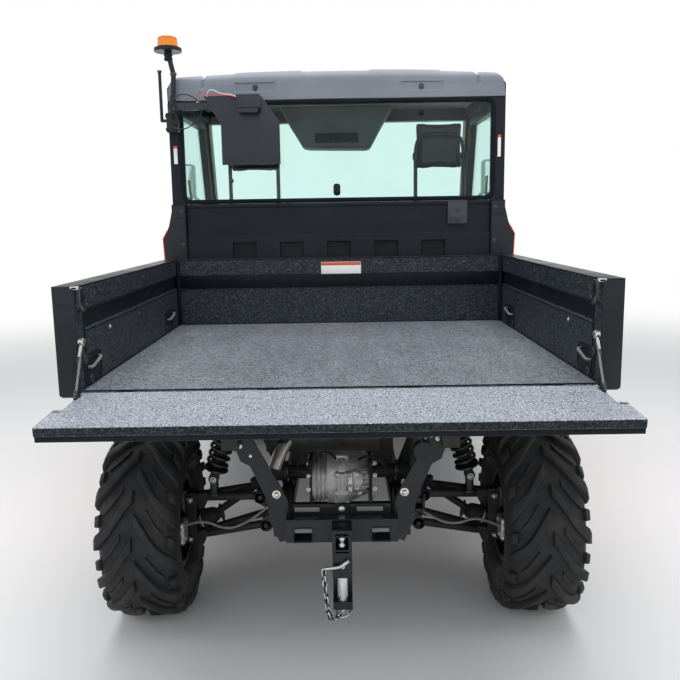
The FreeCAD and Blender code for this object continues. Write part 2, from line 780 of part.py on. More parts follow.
def tyre_side(axle, w, half, side, corners):
    """One side's rows of places at the tread's middle and inside the crown, and all its triangles."""
    base = tyre_radius - lug_height
    foot_end = base - shoulder_drop - 20
    lip = bead_radius + flange_height
    widest = lip + 0.7 * (foot_end - lip)
    bead = half - 7 - seat_gap
    # The facets' middles, not their corners, sit on the rim
    flat = cos(pi / lug_count)
    seat = (bead_radius + seat_gap) / flat
    t = tyre_wall
    # A lug from the middle out: distance across, radius, degrees on, half thickness in degrees
    feet = ((0.04 * w, base, 0.0, 4.0), (0.52 * w, base, 18.0, 4.0),
            (w - shoulder_set_in, base, 25.5, 3.7), (w - shoulder_set_in / 2, foot_end, 30.0, 3.4))
    tops = ((0.04 * w, tyre_radius, 0.0, 4.0), (0.52 * w, tyre_radius, 18.0, 4.0),
            (w, tyre_radius - shoulder_drop, 30.0, 3.4))
    # Side wall and lining, from the shoulder round to the crown: distance across, radius
    wall = ((w - 4, widest), (half + 2, (lip + 5) / flat), (bead, (lip + 1) / flat), (bead, seat),
            (bead - t, seat), (w - 6 - t, widest - 4), (w - shoulder_set_in - t, base - t))

    def place(x, r, angle):
        corners.append(wheel_point(axle, side * x, r, angle))
        return angle, len(corners) - 1

    starts = [2 * pi * (i + 0.25 - 0.25 * side) / lug_count for i in range(lug_count)]
    lugs = [[[place(x, r, start + radians(on + way * thick)) for x, r, on, thick in rows]
             for way in (-1, 1) for rows in (feet, tops)] for start in starts]
    rows = [[edge for lug in lugs for edge in (lug[0][3], lug[2][3])]]
    rows += [[place(x, r, start + radians(30)) for start in starts] for x, r in wall]
    triangles = [face for lug, after in zip(lugs, lugs[1:] + lugs[:1]) for face in lug_faces(lug, after)]
    for upper, lower in zip(rows, rows[1:]):
        triangles += band(upper, lower)
    if side < 0:
        triangles = [(a, c, b) for a, b, c in triangles]
    return [edge for lug in lugs for edge in (lug[0][0], lug[2][0])], rows[-1], triangles


def wheel_point(axle, x, r, angle):
    """Place on the right wheel: across, radius, angle from the top towards the rear."""
    return Vector(wheel_x + x, axle - r * sin(angle), wheel_z + r * cos(angle))


def lug_faces(lug, after):
    """Triangles of a lug and of the groove between it and the one after."""
    foot1, top1, foot2, top2 = [[corner for angle, corner in row] for row in lug]
    foot3 = [corner for angle, corner in after[0]]
    out = fan(foot1[0], foot2[0], top2[0], top1[0]) + fan(foot1[3], top1[2], top2[2], foot2[3])
    out += fan(foot1[0], top1[0], top1[1], foot1[1]) + fan(foot2[0], foot2[1], top2[1], top2[0])
    out += fan(top1[1], top1[2], foot1[3], foot1[2], foot1[1])
    out += fan(top2[1], foot2[1], foot2[2], foot2[3], top2[2])
    for a, b in ((0, 1), (1, 2)):
        out += fan(top1[a], top2[a], top2[b], top1[b])
    for a, b in ((0, 1), (1, 2), (2, 3)):
        out += fan(foot2[a], foot3[a], foot3[b], foot2[b])
    return out


def fan(first, *others):
    """Triangles of a polygon, all from its first corner."""
    return [(first, b, c) for b, c in zip(others, others[1:])]


def band(one, other):
    """Triangles between two closed rows of (angle, corner), stepping along the row that lags."""
    def at(row, i):
        return row[i % len(row)][0] + 2 * pi * (i // len(row)), row[i % len(row)][1]

    first = min(range(-len(other), len(other)), key=lambda j: abs(at(other, j)[0] - one[0][0]))
    i = 0
    j = first
    out = []
    while i < len(one) or j < first + len(other):
        ends = j == first + len(other)
        if ends or (i < len(one) and at(one, i + 1)[0] <= at(other, j + 1)[0]):
            out.append((at(one, i)[1], at(one, i + 1)[1], at(other, j)[1]))
            i += 1
        else:
            out.append((at(one, i)[1], at(other, j + 1)[1], at(other, j)[1]))
            j += 1
    return out


# Drive line
def transaxle():
    """Gear case: ribbed drum, lobed flange, round cover, finned cone and the bell behind it."""
    z = 480.0
    y = rear_axle + 10
    case = [rod((-102, y, z - 12), (-50, y, z - 12), 78), rod((-50, y, z), (20, y, z), 100),
            rod((20, y, z), (96, y, z), 100, 66), rod((-14, y, z), (14, y, z), 108)]
    case += [rod((x, y, z - 12), (x + 5, y, z - 12), 84) for x in (-94, -80, -66)]
    for i in range(10):
        a = 2 * pi * (i + 0.5) / 10
        case.append(rod((-20, y + 103 * cos(a), z + 103 * sin(a)),
                        (20, y + 103 * cos(a), z + 103 * sin(a)), 12))
    cover = rod((40, y - 98, z + 10), (40, y - 60, z + 10), 34)
    fins = [box(24, 92, y - 96, y + 96, z - 2 + lift, z + 3 + lift) for lift in (-40, -20, 0, 20, 40)]
    cone = rod((20, y, z), (96, y, z), 106, 74)
    fins = [fin.common(cone) for fin in fins]
    bell = rod((0, y + 40, z + 20), (0, rear_axle + 240 - seat_gap, z + 20), 92)
    return join(*case, cover, bell, *fins)


def transaxle_mounts():
    """Bracket plates and output shaft housings beside the gear case, on a cross plate."""
    inner = rail_x - rail_width / 2
    parts = [box(-inner, inner, rear_axle - 60, rear_axle + 80, rail_bottom + 10, rail_bottom + 20)]
    for side, face in ((-1, 102), (1, 96)):
        x = side * face
        parts.append(box(x, x + side * 10, rear_axle - 60, rear_axle + 60, rail_top - 20, 545))
        parts.append(box(x, x + side * 10, rear_axle - 60, rear_axle - 20, rail_bottom + 20,
                         rail_top - 20))
        parts.append(rod((x + side * 10, rear_axle, 495), (side * 190, rear_axle, 495), 24))
        parts.append(rod((side * 190, rear_axle, 495), (side * 201, rear_axle, 495), 34))
    return parts


def drive_shaft():
    inner = (201 + seat_gap, rear_axle, 495)
    outer = (stub_inner_x - seat_gap, rear_axle, wheel_z)
    a = Vector(*inner)
    b = Vector(*outer)
    elbow_in = (240, rear_axle, 492)
    elbow_out = (465, rear_axle, 336)
    parts = [rod(inner, elbow_in, 30), rod(elbow_in, elbow_out, 13),
             rod(elbow_out, outer, 30, 32), Part.makeSphere(30, Vector(*elbow_in)),
             Part.makeSphere(30, Vector(*elbow_out))]
    shaft = join(*parts)
    return shaft.common(box(a.x, b.x, rear_axle - 60, rear_axle + 60, 0, 1000))


def engine():
    return box(-200, 200, rear_axle + 240, cab_rear - 170, rail_top + seat_gap, 690)


def exhaust():
    y = bed_rear + 300
    muffler = rod((-240, y, 690), (120, y, 690), 62)
    pipe_out = tube_path([(-150, y - 20, 690), (-178, bed_rear + 250, 676), (-214, bed_rear + 205, 600)],
                         21.5)
    link = box(-120, -60, y + 30, rear_axle + 240 - seat_gap, 640, 670)
    return join(muffler, pipe_out, link)


# Bed
def bed_floor():
    x = bed_inner_half - seat_gap
    floor = box(-x, x, bed_rear, bed_front_inner - seat_gap, bed_floor_low, bed_floor_top)
    parts = [floor]
    for side in (-1, 1):
        cx = side * bed_rail_x
        rail = box(cx - bed_rail_width / 2, cx + bed_rail_width / 2, bed_rear + 40,
                   bed_front_inner - 80, bed_rail_low, bed_floor_low)
        barrel = rod((cx - 6 - bed_rail_width / 2, bed_hinge_y, bed_hinge_z),
                     (cx + 6 + bed_rail_width / 2, bed_hinge_y, bed_hinge_z), 20)
        parts += [rail, barrel]
    for y in (bed_rear + 150, bed_rear + 640, bed_front_inner - 120):
        parts.append(box(-x + 10, x - 10, y, y + 40, bed_floor_low - 22, bed_floor_low))
    # Bracket for the lift cylinder's rod
    y = bed_rear + lift_eye_ahead
    for edge in (-1, 1):
        cheek = box(lift_x + edge * 20, lift_x + edge * 28, y - 22, y + 22, lift_eye_height - 18,
                    bed_floor_low)
        parts.append(cheek)
    parts.append(rod((lift_x - 30, y, lift_eye_height), (lift_x + 30, y, lift_eye_height),
                     lift_pin_radius))
    # Knuckles of the tailgate's hinge
    for cx in (-600, -200, 200, 600):
        parts.append(box(cx - 24, cx + 24, bed_rear - gate_hinge_behind - 8, bed_rear + 10,
                         gate_hinge_z - 24, gate_hinge_z - 13))
        parts.append(box(cx - 24, cx + 24, gate_hinge_y - 5, gate_hinge_y + 5,
                         gate_hinge_z - 24, gate_hinge_z))
        parts.append(rod((cx - 40, gate_hinge_y, gate_hinge_z), (cx + 40, gate_hinge_y, gate_hinge_z),
                         gate_pin_radius))
    whole = join(*parts)
    for side in (-1, 1):
        cx = side * bed_rail_x
        whole = whole.cut(rod((cx - 60, bed_hinge_y, bed_hinge_z), (cx + 60, bed_hinge_y, bed_hinge_z),
                              bed_hinge_pin + running_gap))
    return whole


def bed_side():
    """Right side wall with its recessed middle band and the plain rear post."""
    x0 = bed_inner_half
    x1 = bed_outer_half
    top = bed_rail_top_height
    low = bed_floor_top - bed_skirt
    band_high = top - bed_band_top
    band_low = band_high - bed_band_mid
    inset = x0 + bed_band_depth
    wall = [(x0, low), (x1 - 8, low), (x1, low + 10), (x1, top - 4), (x1 - 4, top),
            (x0 + 4, top), (x0, top - 4), (x0, band_high), (inset, band_high - 6),
            (inset, band_low + 6), (x0, band_low)]
    post = [(x0, low), (x1 - 8, low), (x1, low + 10), (x1, top - 4), (x1 - 4, top),
            (x0 + 4, top), (x0, top - 4)]
    split = bed_rear + bed_post_length
    side = join(prism(wall, "y", split, bed_front), prism(post, "y", bed_rear, split))
    catch = box(x0 - 9, x0, bed_rear + 6, bed_rear + 40, top - 62, top - 6)
    bolt = rod((x0 - 12, bed_rear + 10, bed_floor_top + cable_post_height),
               (x0, bed_rear + 10, bed_floor_top + cable_post_height), 8)
    return join(side, catch, bolt)


def bed_front_panel():
    x = bed_inner_half - seat_gap
    top = bed_rail_top_height
    low = bed_floor_top - bed_skirt
    y0 = bed_front_inner
    band_high = top - bed_band_top
    band_low = band_high - bed_band_mid
    inset = y0 + bed_band_depth
    wall = [(y0, low), (bed_front, low), (bed_front, top), (y0 + 4, top), (y0, top - 4),
            (y0, band_high), (inset, band_high - 6), (inset, band_low + 6), (y0, band_low)]
    return prism(wall, "x", -x, x)


# Tailgate
def gate_point(along, above):
    """A place on the drooping gate: distance from its pin and height above the pin."""
    a = radians(gate_droop)
    return (gate_hinge_y - along * cos(a) - above * sin(a),
            gate_hinge_z - along * sin(a) + above * cos(a))


def gate_slab(half, start, end, low, high):
    corners = [gate_point(start, low), gate_point(start, high), gate_point(end, high),
               gate_point(end, low)]
    return prism(corners, "x", -half, half)


def tailgate():
    high = gate_above_pin
    low = high - gate_thickness
    inner = join(gate_slab(gate_inner_half, 0, gate_step_at + 10, low, high),
                 rod((-gate_inner_half, gate_hinge_y, gate_hinge_z),
                     (gate_inner_half, gate_hinge_y, gate_hinge_z), high))
    outer = gate_slab(gate_outer_half, gate_step_at, gate_length, low, high)
    band = gate_slab(gate_outer_half + 1, gate_length - gate_band_depth, gate_length + 5,
                     low - 1, low + gate_band_height)
    gate = join(inner, outer.cut(band))
    for cx in (-600, -200, 200, 600):
        room = join(rod((cx - 28, gate_hinge_y, gate_hinge_z), (cx + 28, gate_hinge_y, gate_hinge_z), 38),
                    box(cx - 28, cx + 28, gate_hinge_y - 12, bed_rear, gate_hinge_z - 60, gate_hinge_z))
        keep_top = prism([gate_point(2, high - 4), gate_point(80, high - 4),
                          gate_point(80, high + 60), gate_point(2, high + 60)],
                         "x", cx - 40, cx + 40)
        gate = gate.cut(room.cut(keep_top))
        gate = gate.cut(rod((cx - 44, gate_hinge_y, gate_hinge_z), (cx + 44, gate_hinge_y, gate_hinge_z),
                            gate_pin_radius + running_gap))
    bolts = []
    for side in (-1, 1):
        y, z = gate_point(cable_gate_at, -4)
        bolts.append(rod((side * (gate_inner_half - 4), y, z), (side * (gate_inner_half + 11), y, z), 7))
        y, z = gate_point(gate_striker_at, -8)
        bolts.append(rod((side * (gate_outer_half - 4), y, z), (side * (gate_outer_half + 12), y, z), 6))
    return join(gate, *bolts)


def tailgate_cable():
    y0 = bed_rear + 10
    z0 = bed_floor_top + cable_post_height
    y1, z1 = gate_point(cable_gate_at, -4)
    x0 = bed_inner_half - 6
    x1 = gate_inner_half + 6
    top = Vector(x0, y0, z0)
    low = Vector(x1, y1, z1)
    way = (low - top).normalize()
    return rod(tuple(top + way * 8.4), tuple(low - way * 7.4), cable_radius)


# Lift cylinder
def lift_axis():
    base = Vector(lift_x, bed_rear + lift_base_ahead, lift_base_height)
    eye = Vector(lift_x, bed_rear + lift_eye_ahead, lift_eye_height)
    return base, eye, (eye - base).normalize()


def cylinder_barrel():
    base, eye, way = lift_axis()
    body = pipe(tuple(base + way * 24), tuple(base + way * lift_barrel_length), lift_barrel_radius,
                lift_rod_radius + 8)
    floor = rod(tuple(base + way * 10), tuple(base + way * 40), lift_barrel_radius - 10)
    gland = pipe(tuple(base + way * (lift_barrel_length - 24)), tuple(base + way * lift_barrel_length),
                 lift_barrel_radius, lift_rod_radius + running_gap)
    lug = rod((lift_x - 15, base.y, base.z), (lift_x + 15, base.y, base.z), 17)
    shape = join(body, rod(tuple(base + way * 24), tuple(base + way * 36), lift_barrel_radius),
                 gland, lug, rod(tuple(base), tuple(base + way * 30), 14))
    return shape.cut(rod((lift_x - 40, base.y, base.z), (lift_x + 40, base.y, base.z),
                         lift_pin_radius + running_gap))


def cylinder_rod():
    base, eye, way = lift_axis()
    shaft = rod(tuple(base + way * 44), tuple(eye - way * 22), lift_rod_radius)
    ring = rod((lift_x - 14, eye.y, eye.z), (lift_x + 14, eye.y, eye.z), lift_eye_bore + 7)
    shape = join(shaft, ring)
    return shape.cut(rod((lift_x - 40, eye.y, eye.z), (lift_x + 40, eye.y, eye.z), lift_eye_bore))


# Cab
def a_pillar_slope(z):
    """How far along the vehicle the windscreen pillar's rear edge lies at a height."""
    share = (z - cowl_height) / (header_bottom - cowl_height)
    return a_post_rear + share * (header_y - 40 - a_post_rear)


def cab_side():
    """Right side frame: rear pillar, roof rail, windscreen pillar, front post, arch and sill."""
    x_low = cab_lower_half
    x_up = cab_upper_half
    x_in = x_low - pillar
    top = rear_header_bottom + 60
    ff = floor_front
    # Rear pillar in three lengths, bent at the shoulder of the cab
    pillars = ([(x_up - pillar - 6, top), (x_up, top), (x_up, cab_shoulder_high),
                (x_up - pillar - 6, cab_shoulder_high)],
               [(x_up - pillar - 6, cab_shoulder_high), (x_up, cab_shoulder_high),
                (x_low, cab_shoulder_low), (x_in, cab_shoulder_low - 20)],
               [(x_in, cab_shoulder_low - 20), (x_low, cab_shoulder_low), (x_low, cab_floor_height),
                (x_in, cab_floor_height)])
    parts = [prism(outline, "y", cab_rear, cab_inner) for outline in pillars]
    front = [(header_y - 40, header_bottom + 12), (a_post_rear, cowl_height), (a_post_front, cowl_height),
             (a_post_front, cowl_height + 20), (header_y + 50, top), (header_y - 40, top)]
    parts.append(prism(front, "x", x_up - pillar, x_up))
    parts.append(box(x_up - pillar, x_up, cab_inner, header_y - 40, rear_header_bottom + 6, top))
    parts.append(box(x_up - pillar, x_low, a_post_rear, a_post_front, cowl_height - 40, cowl_height))
    parts.append(box(x_in, x_low, a_post_rear, a_post_front, arch_top + 40, cowl_height - 40))
    parts.append(box(x_in, x_low, cab_inner, ff - 50, cab_floor_height, sill_top))
    # Rail over the front wheel arch in four lengths, from the sill to the front post
    arches = ([(ff - 50, cab_floor_height), (ff, cab_floor_height), (ff, 500), (ff - 50, 520)],
              [(ff - 50, 520), (ff, 500), (ff + 90, 700), (ff + 20, 720)],
              [(ff + 20, 720), (ff + 90, 700), (ff + 170, arch_top), (ff + 130, arch_top + 40)],
              [(ff + 130, arch_top + 40), (ff + 170, arch_top), (a_post_front, arch_top),
               (a_post_front, arch_top + 40)])
    parts += [prism(outline, "x", x_in, x_low) for outline in arches]
    return apart(*parts, *door_pins())


def door_pins():
    """Hinge halves on the right front post, with the pins that the door turns on."""
    out = []
    for z in hinge_heights:
        arm = box(cab_lower_half - 4, door_hinge_x, door_hinge_y + hinge_radius + 6, door_hinge_y + 34,
                  z, z + 30)
        leaf = box(door_hinge_x - 6, door_hinge_x + 6, door_hinge_y, door_hinge_y + 34, z, z + 30)
        barrel = rod((door_hinge_x, door_hinge_y, z), (door_hinge_x, door_hinge_y, z + 30), hinge_radius)
        pin = rod((door_hinge_x, door_hinge_y, z), (door_hinge_x, door_hinge_y, z + 62), hinge_pin)
        out.append(join(arm, leaf, barrel, pin))
    return out


def cab_headers():
    """Cross members of the cab: over the windscreen, under it and over the rear window."""
    x = cab_upper_half - pillar - seat_gap
    front = box(-x, x, header_y - 30, header_y + 40, header_bottom + 6, rear_header_bottom + 60)
    rear = box(-x + 6, x - 6, cab_rear + 6, cab_inner, rear_header_bottom + 4, rear_header_bottom + 60)
    low = box(-x, x, a_post_rear + 6, a_post_front - 4, cowl_height - 50, cowl_height)
    return [front, rear, low]


def rear_panel():
    """Wall under the rear window, with five recesses that open downwards."""
    x = window_body_half
    top = panel_top
    wall = box(-x, x, cab_rear + 10, cab_rear + 34, cab_base, top)
    lip = box(-x + 8, x - 8, cab_rear - 6, cab_rear + 30, top - 16, top)
    band = prism([(cab_rear - 2, top - 16), (cab_rear + 20, top - 16), (cab_rear + 20, 1296),
                  (cab_rear + 4, 1304)], "x", -x + 8, x - 8)
    lower = box(-x + 8, x - 8, cab_rear - 8, cab_rear + 20, cab_base, 1304)
    shape = join(wall, lip, band, lower)
    pitch = 217.0
    for i in range(-2, 3):
        cx = i * pitch
        shape = shape.cut(box(cx - 54, cx + 54, cab_rear - 20, cab_rear + 12, cab_base - 10, 1271))
    return shape


def corner_cover():
    """Right black cover round the foot of the rear pillar."""
    x = cab_lower_half
    outline = [(cab_upper_half - 62, 1448), (cab_upper_half + 1, 1448), (cab_upper_half + 1, 1386),
               (784, 1330), (x, 1296), (x - 7, 1150), (x - 7, cab_base), (cab_upper_half - 62, cab_base)]
    return prism(outline, "y", cab_rear - 26, cab_rear - seat_gap)


def roof():
    """Roof shell, crowned across and drooping towards the windscreen."""
    half = cab_upper_half - 10
    sections = []
    low = rear_header_bottom + 60 + seat_gap
    # Places of the sections: distance along, top height at the middle, half width
    rows = ((cab_rear - 10, roof_rear_height, half - 8), (cab_rear + 60, roof_rear_height + 26, half),
            (header_y - 60, roof_rear_height + 22, half), (header_y + 120, roof_rear_height - 12, half - 16))
    for y, top, w in rows:
        points = [(-w, low), (-w, low + 14), (-w + 36, top - roof_crown), (0, top),
                  (w - 36, top - roof_crown), (w, low + 14), (w, low)]
        sections.append(Part.makePolygon([Vector(a, y, b) for a, b in points + points[:1]]))
    shell = Part.makeLoft(sections, True, True)
    hollow = box(-half + 60, half - 60, cab_rear + 80, header_y - 90, low - 5, low + 16)
    skirt = box(-half + 20, half - 20, cab_rear - 8, cab_rear - seat_gap, rear_header_bottom + 2, low)
    return join(shell.cut(hollow), skirt)


def rear_window():
    """Rubber seal and glass of the rear window."""
    z0 = panel_top + seat_gap
    z1 = rear_header_bottom
    inner = window_half - window_seal
    frame = join(box(-window_half, window_half, cab_rear - 6, cab_rear - seat_gap, z0, z1),
                 box(-window_body_half, window_body_half, cab_rear - 2, cab_rear + 16, z0, z1))
    frame = frame.cut(box(-inner, inner, cab_rear - 10, cab_rear + 30, z0 + window_seal, z1 - window_seal))
    return frame


def rear_glass():
    inner = window_half - window_seal - seat_gap
    return box(-inner, inner, cab_rear + 4, cab_rear + 4 + glass_thickness,
               panel_top + 2 * seat_gap + window_seal,
               rear_header_bottom - window_seal - seat_gap)


def windscreen():
    x = cab_upper_half - pillar - seat_gap - 1
    y0 = a_post_rear + 20
    y1 = header_y + 16
    outline = [(y0, cowl_height + seat_gap), (y0 + 6, cowl_height + seat_gap),
               (y1 + 6, header_bottom + 6 - seat_gap), (y1, header_bottom + 6 - seat_gap)]
    return prism(outline, "x", -x, x)


def cab_floor():
    """Floor with its raised toe board between the front wheels and the rear bulkhead."""
    x = cab_lower_half - pillar - seat_gap
    t = 10
    tunnel = 385
    low = rail_top + seat_gap
    ff = floor_front
    parts = [box(-x, x, cab_rear + 40, ff, low, low + t),
             box(-tunnel, tunnel, ff, toe_front, low, low + t),
             box(-tunnel, tunnel, toe_front - t, toe_front, low + t, dash_bottom - seat_gap),
             box(-x + t, x - t, cab_inner + 2, cab_inner + 12, low + t, cab_base + 260)]
    # Side view of the inner arch in three lengths: along, height
    arches = ([(ff - t, 490), (ff, 490), (ff + 96, 694), (ff + 86, 704)],
              [(ff + 86, 704), (ff + 96, 694), (ff + 176, 740), (ff + 170, 750)],
              [(ff + 170, 750), (ff + 176, 740), (toe_front, 742), (toe_front, 752)])
    for side in (-1, 1):
        parts.append(box(side * (tunnel - t), side * tunnel, ff, toe_front - t, low + t, arch_top + 5))
        parts.append(box(side * (tunnel - t), side * x, ff - t, ff, low + t, 490))
        outer = side * (x - 1)
        for outline in arches:
            parts.append(prism(outline, "x", min(side * tunnel, outer), max(side * tunnel, outer)))
    return apart(*parts)


def seat_base():
    """Box under the seats, open below."""
    low = rail_top + 10 + 2 * seat_gap
    y0 = cab_inner + 12 + seat_gap
    y1 = y0 + 470
    return apart(box(-700, 700, y0, y1, seat_base_top - 20, seat_base_top),
                 box(-700, 700, y0, y0 + 20, low, seat_base_top - 20),
                 box(-700, 700, y1 - 20, y1, low, seat_base_top - 20),
                 *pair(box(680, 700, y0 + 20, y1 - 20, low, seat_base_top - 20)))


def seats():
    """Two seats: cushion and backrest each."""
    out = []
    base = cab_inner + 12 + 2
    low = seat_base_top + seat_gap
    for cx in seat_places:
        cushion = prism([(base + 60, low), (base + 470, low), (base + 500, seat_top),
                         (base + 120, seat_top - 10)], "x", cx - 250, cx + 250)
        back = prism([(base + 20, seat_top - 40), (base + 140, seat_top - 15), (base + 80, seat_back_top),
                      (base, seat_back_top)], "x", cx - 245, cx + 245)
        out.append(join(cushion, back))
    return out


def headrests():
    """Pads held on tube hoops that stand on the backrests."""
    out = []
    base = cab_inner + 40
    foot = seat_back_top + seat_gap
    low = seat_back_top + headrest_rise
    for cx in headrest_places:
        pad = box(cx - 122, cx + 122, base + 14, base + 66, low, low + headrest_height)
        pad = pad.makeFillet(20, pad.Edges)
        hoop = tube_path([(cx - 112, base, foot), (cx - 112, base, low + 112), (cx - 70, base, low + 162),
                          (cx + 70, base, low + 162), (cx + 112, base, low + 112),
                          (cx + 112, base, foot)], 9)
        link = box(cx - 90, cx + 90, base, base + 20, low + 154, low + 169)
        out.append(join(pad, hoop, link))
    return out


def dashboard():
    x = cab_upper_half - pillar - 6
    y1 = a_post_rear + 6 - seat_gap
    outline = [(y1, cowl_height - 10), (y1 - 120, cowl_height - 15), (y1 - 190, cowl_height - 80),
               (y1 - 150, dash_bottom + 100), (y1 - 60, dash_bottom), (y1, dash_bottom)]
    dash = prism(outline, "x", -x, x)
    top, axis = column()
    low = top - axis * 330
    tube = rod(tuple(low), tuple(top - axis * 30), 26)
    shaft = rod(tuple(top - axis * 60), tuple(top + axis * 4), 9)
    return join(dash, tube, shaft)


def column():
    """Top of the steering column and its direction, towards the driver."""
    axis = Vector(0, -cos(radians(32)), sin(radians(32)))
    return Vector(-400, front_axle - 395, cowl_height - 35), axis


def steering_wheel():
    top, axis = column()
    ring = Part.makeTorus(175, 14, top + axis * 22, axis)
    hub = rod(tuple(top - axis * 4), tuple(top + axis * 26), 42)
    parts = [ring, hub]
    side = Vector(1, 0, 0)
    up = axis.cross(side)
    for a in (0, 180, 270):
        d = side * cos(radians(a)) + up * sin(radians(a))
        parts.append(rod(tuple(top + axis * 14), tuple(top + axis * 22 + d * 172), 9))
    wheel = join(*parts)
    return wheel.cut(rod(tuple(top - axis * 20), tuple(top + axis * 10), 9 + running_gap))


# Steering
def rack_housing():
    """Tube round the steering rack, hung from a bar between the rails."""
    y = front_axle - steer_arm
    inner = rail_x - rail_width / 2
    tube = rod((-150, y, rack_height), (150, y, rack_height), 22)
    feet = [box(s * 100, s * 130, y - 16, y + 16, rack_height + 10, rail_bottom + 5) for s in (-1, 1)]
    bar = box(-inner, inner, y - 16, y + 16, rail_bottom + 5, rail_bottom + 25)
    body = join(tube, *feet, bar)
    return body.cut(rod((-200, y, rack_height), (200, y, rack_height), rack_radius + running_gap))


def steering_rack():
    y = front_axle - steer_arm
    parts = [rod((-king_x, y, rack_height), (king_x, y, rack_height), rack_radius - 3),
             rod((-240, y, rack_height), (240, y, rack_height), rack_radius)]
    for side in (-1, 1):
        parts.append(rod((side * king_x, y, rack_height - rod_end_half),
                         (side * king_x, y, rack_height + rod_end_half), 16))
    return join(*parts)


# Doors
def door_outline():
    """Side view of the door: distance along and height."""
    slope = lambda z: a_pillar_slope(z) - door_gap
    return [(door_rear, door_bottom), (floor_front - 66, door_bottom), (floor_front - 66, 530),
            (floor_front + 10, 735), (floor_front + 120, 800), (door_front, 800),
            (door_front, cowl_height), (slope(door_top), door_top), (door_rear, door_top)]


def door():
    """Right door: panel below the belt, sash round the window above it."""
    outline = door_outline()
    x1 = door_outer_half
    x_top = cab_upper_half + 4
    x0 = x1 - door_thickness
    x0_top = x_top - 38
    # Cross section of the door as seen from behind: shoulders lean in above the belt
    section = [(x0, door_bottom), (x1 - 6, door_bottom), (x1, 700), (x1, cab_shoulder_low - 60),
               (x_top, cab_shoulder_high), (x_top, door_top), (x0_top, door_top),
               (x0_top, cab_shoulder_high), (x0, cab_shoulder_low - 60)]
    body = prism(section, "y", door_rear, door_front).common(
        prism(outline, "x", 600, 900))
    # Window opening
    s = door_sash
    slope = lambda z: a_pillar_slope(z) - door_gap - s - 12
    high = door_top - s
    low = cab_shoulder_low - 10
    hole = prism([(door_rear + s, low), (slope(low), low), (slope(high), high), (door_rear + s, high)],
                 "x", 600, 900)
    # Hollow of the lower panel, open to the inside
    pocket = prism([(door_rear + 60, door_bottom + 60), (floor_front - 120, door_bottom + 60),
                    (floor_front - 40, 800), (door_front - 60, 860), (door_front - 60, door_belt),
                    (door_rear + 60, door_belt)], "x", x0 - 5, x0 + 22)
    body = body.cut(hole).cut(pocket)
    knuckles = []
    for z in hinge_heights:
        z0 = z + 31
        ring = pipe((door_hinge_x, door_hinge_y, z0), (door_hinge_x, door_hinge_y, z0 + 30),
                    hinge_radius, hinge_pin + running_gap)
        tab = box(x1 - 6, door_hinge_x - 6, door_hinge_y - 60, door_hinge_y - 6, z0, z0 + 30)
        link = box(door_hinge_x - hinge_radius, door_hinge_x - 5.5, door_hinge_y - 20, door_hinge_y,
                   z0, z0 + 30)
        knuckles += [ring, tab, link]
    return join(body, *knuckles)


def door_glass():
    s = door_sash
    gap = seat_gap
    slope = lambda z: a_pillar_slope(z) - door_gap - s - 12 - gap
    high = door_top - s - gap
    low = cab_shoulder_low - 10 + gap
    side = prism([(door_rear + s + gap, low), (slope(low), low), (slope(high), high),
                  (door_rear + s + gap, high)], "x", 600, 900)
    x_top = cab_upper_half + 4
    x1 = door_outer_half
    section = [(x1 - 22, cab_shoulder_low - 60), (x1 - 17, cab_shoulder_low - 60),
               (x_top - 17, cab_shoulder_high), (x_top - 17, door_top), (x_top - 22, door_top),
               (x_top - 22, cab_shoulder_high)]
    return prism(section, "y", door_rear, door_front).common(side)


def mirror_unit():
    """Right door mirror: head and arm from the sash of the door."""
    y = door_front - 120
    head = box(818, 940, y - 20, y + 30, mirror_bottom, mirror_bottom + mirror_height)
    head = head.makeFillet(16, head.Edges)
    face = cab_upper_half + 4 + seat_gap
    arm = rod((face - 20, y, mirror_bottom - 75), (850, y, mirror_bottom + 30), 10)
    arm = arm.cut(box(face - 60, face, y - 30, y + 30, mirror_bottom - 120, mirror_bottom - 20))
    return join(head, arm)


# Front
def nose():
    """Body between the front wings: side walls, front wall and cowl, open under the bonnet."""
    back = front_axle - 25
    hinge = front_axle + 45
    front = front_end - 60
    top = cowl_height - nose_drop
    outline = [(back, top + 4), (hinge - 24, top + 6), (hinge, top), (front - 55, nose_top_front),
               (front, lamp_top + 20),
               (front, 640), (front - 60, nose_bottom), (front_axle + 240, nose_bottom),
               (front_axle + 240, nose_floor), (back, nose_floor)]
    shell = prism(outline, "x", -nose_half, nose_half)
    bay = prism([(hinge - 20, nose_floor + 30), (hinge - 20, top + 140), (front - 60, top + 140),
                 (front - 60, nose_floor + 30)],
                "x", -bonnet_half - bonnet_gap, bonnet_half + bonnet_gap)
    low_bay = box(-nose_half + 60, nose_half - 60, front_axle + 200, front - 40, nose_bottom - 5, 850)
    return shell.cut(bay).cut(low_bay)


def bonnet_hinge():
    return front_axle + 45, bonnet_hinge_z


def bonnet():
    """Lid over the front bay, hinged at its rear edge."""
    y0, z0 = bonnet_hinge()
    y1 = front_end - 135
    edge = nose_top_front + 4
    outline = [(y0 - 6, z0 + 4), (y0 + 4, z0 + 20), (y1, edge), (y1, edge - bonnet_thickness),
               (y0 + 4, z0 - 2)]
    lid = prism(outline, "x", -bonnet_half, bonnet_half)
    arms = []
    for side in (-1, 1):
        x = side * 300
        arms.append(rod((x - 20, y0, z0), (x + 20, y0, z0), 10))
        arms.append(box(x - 20, x + 20, y0, y0 + 16, z0 - 8, z0 + 4))
    shape = join(lid, *arms)
    for side in (-1, 1):
        x = side * 300
        shape = shape.cut(rod((x - 60, y0, z0), (x + 60, y0, z0), 4 + running_gap))
        for edge in (-1, 1):
            shape = shape.cut(rod((x + edge * 24, y0, z0), (x + edge * 37, y0, z0), 15))
    return shape


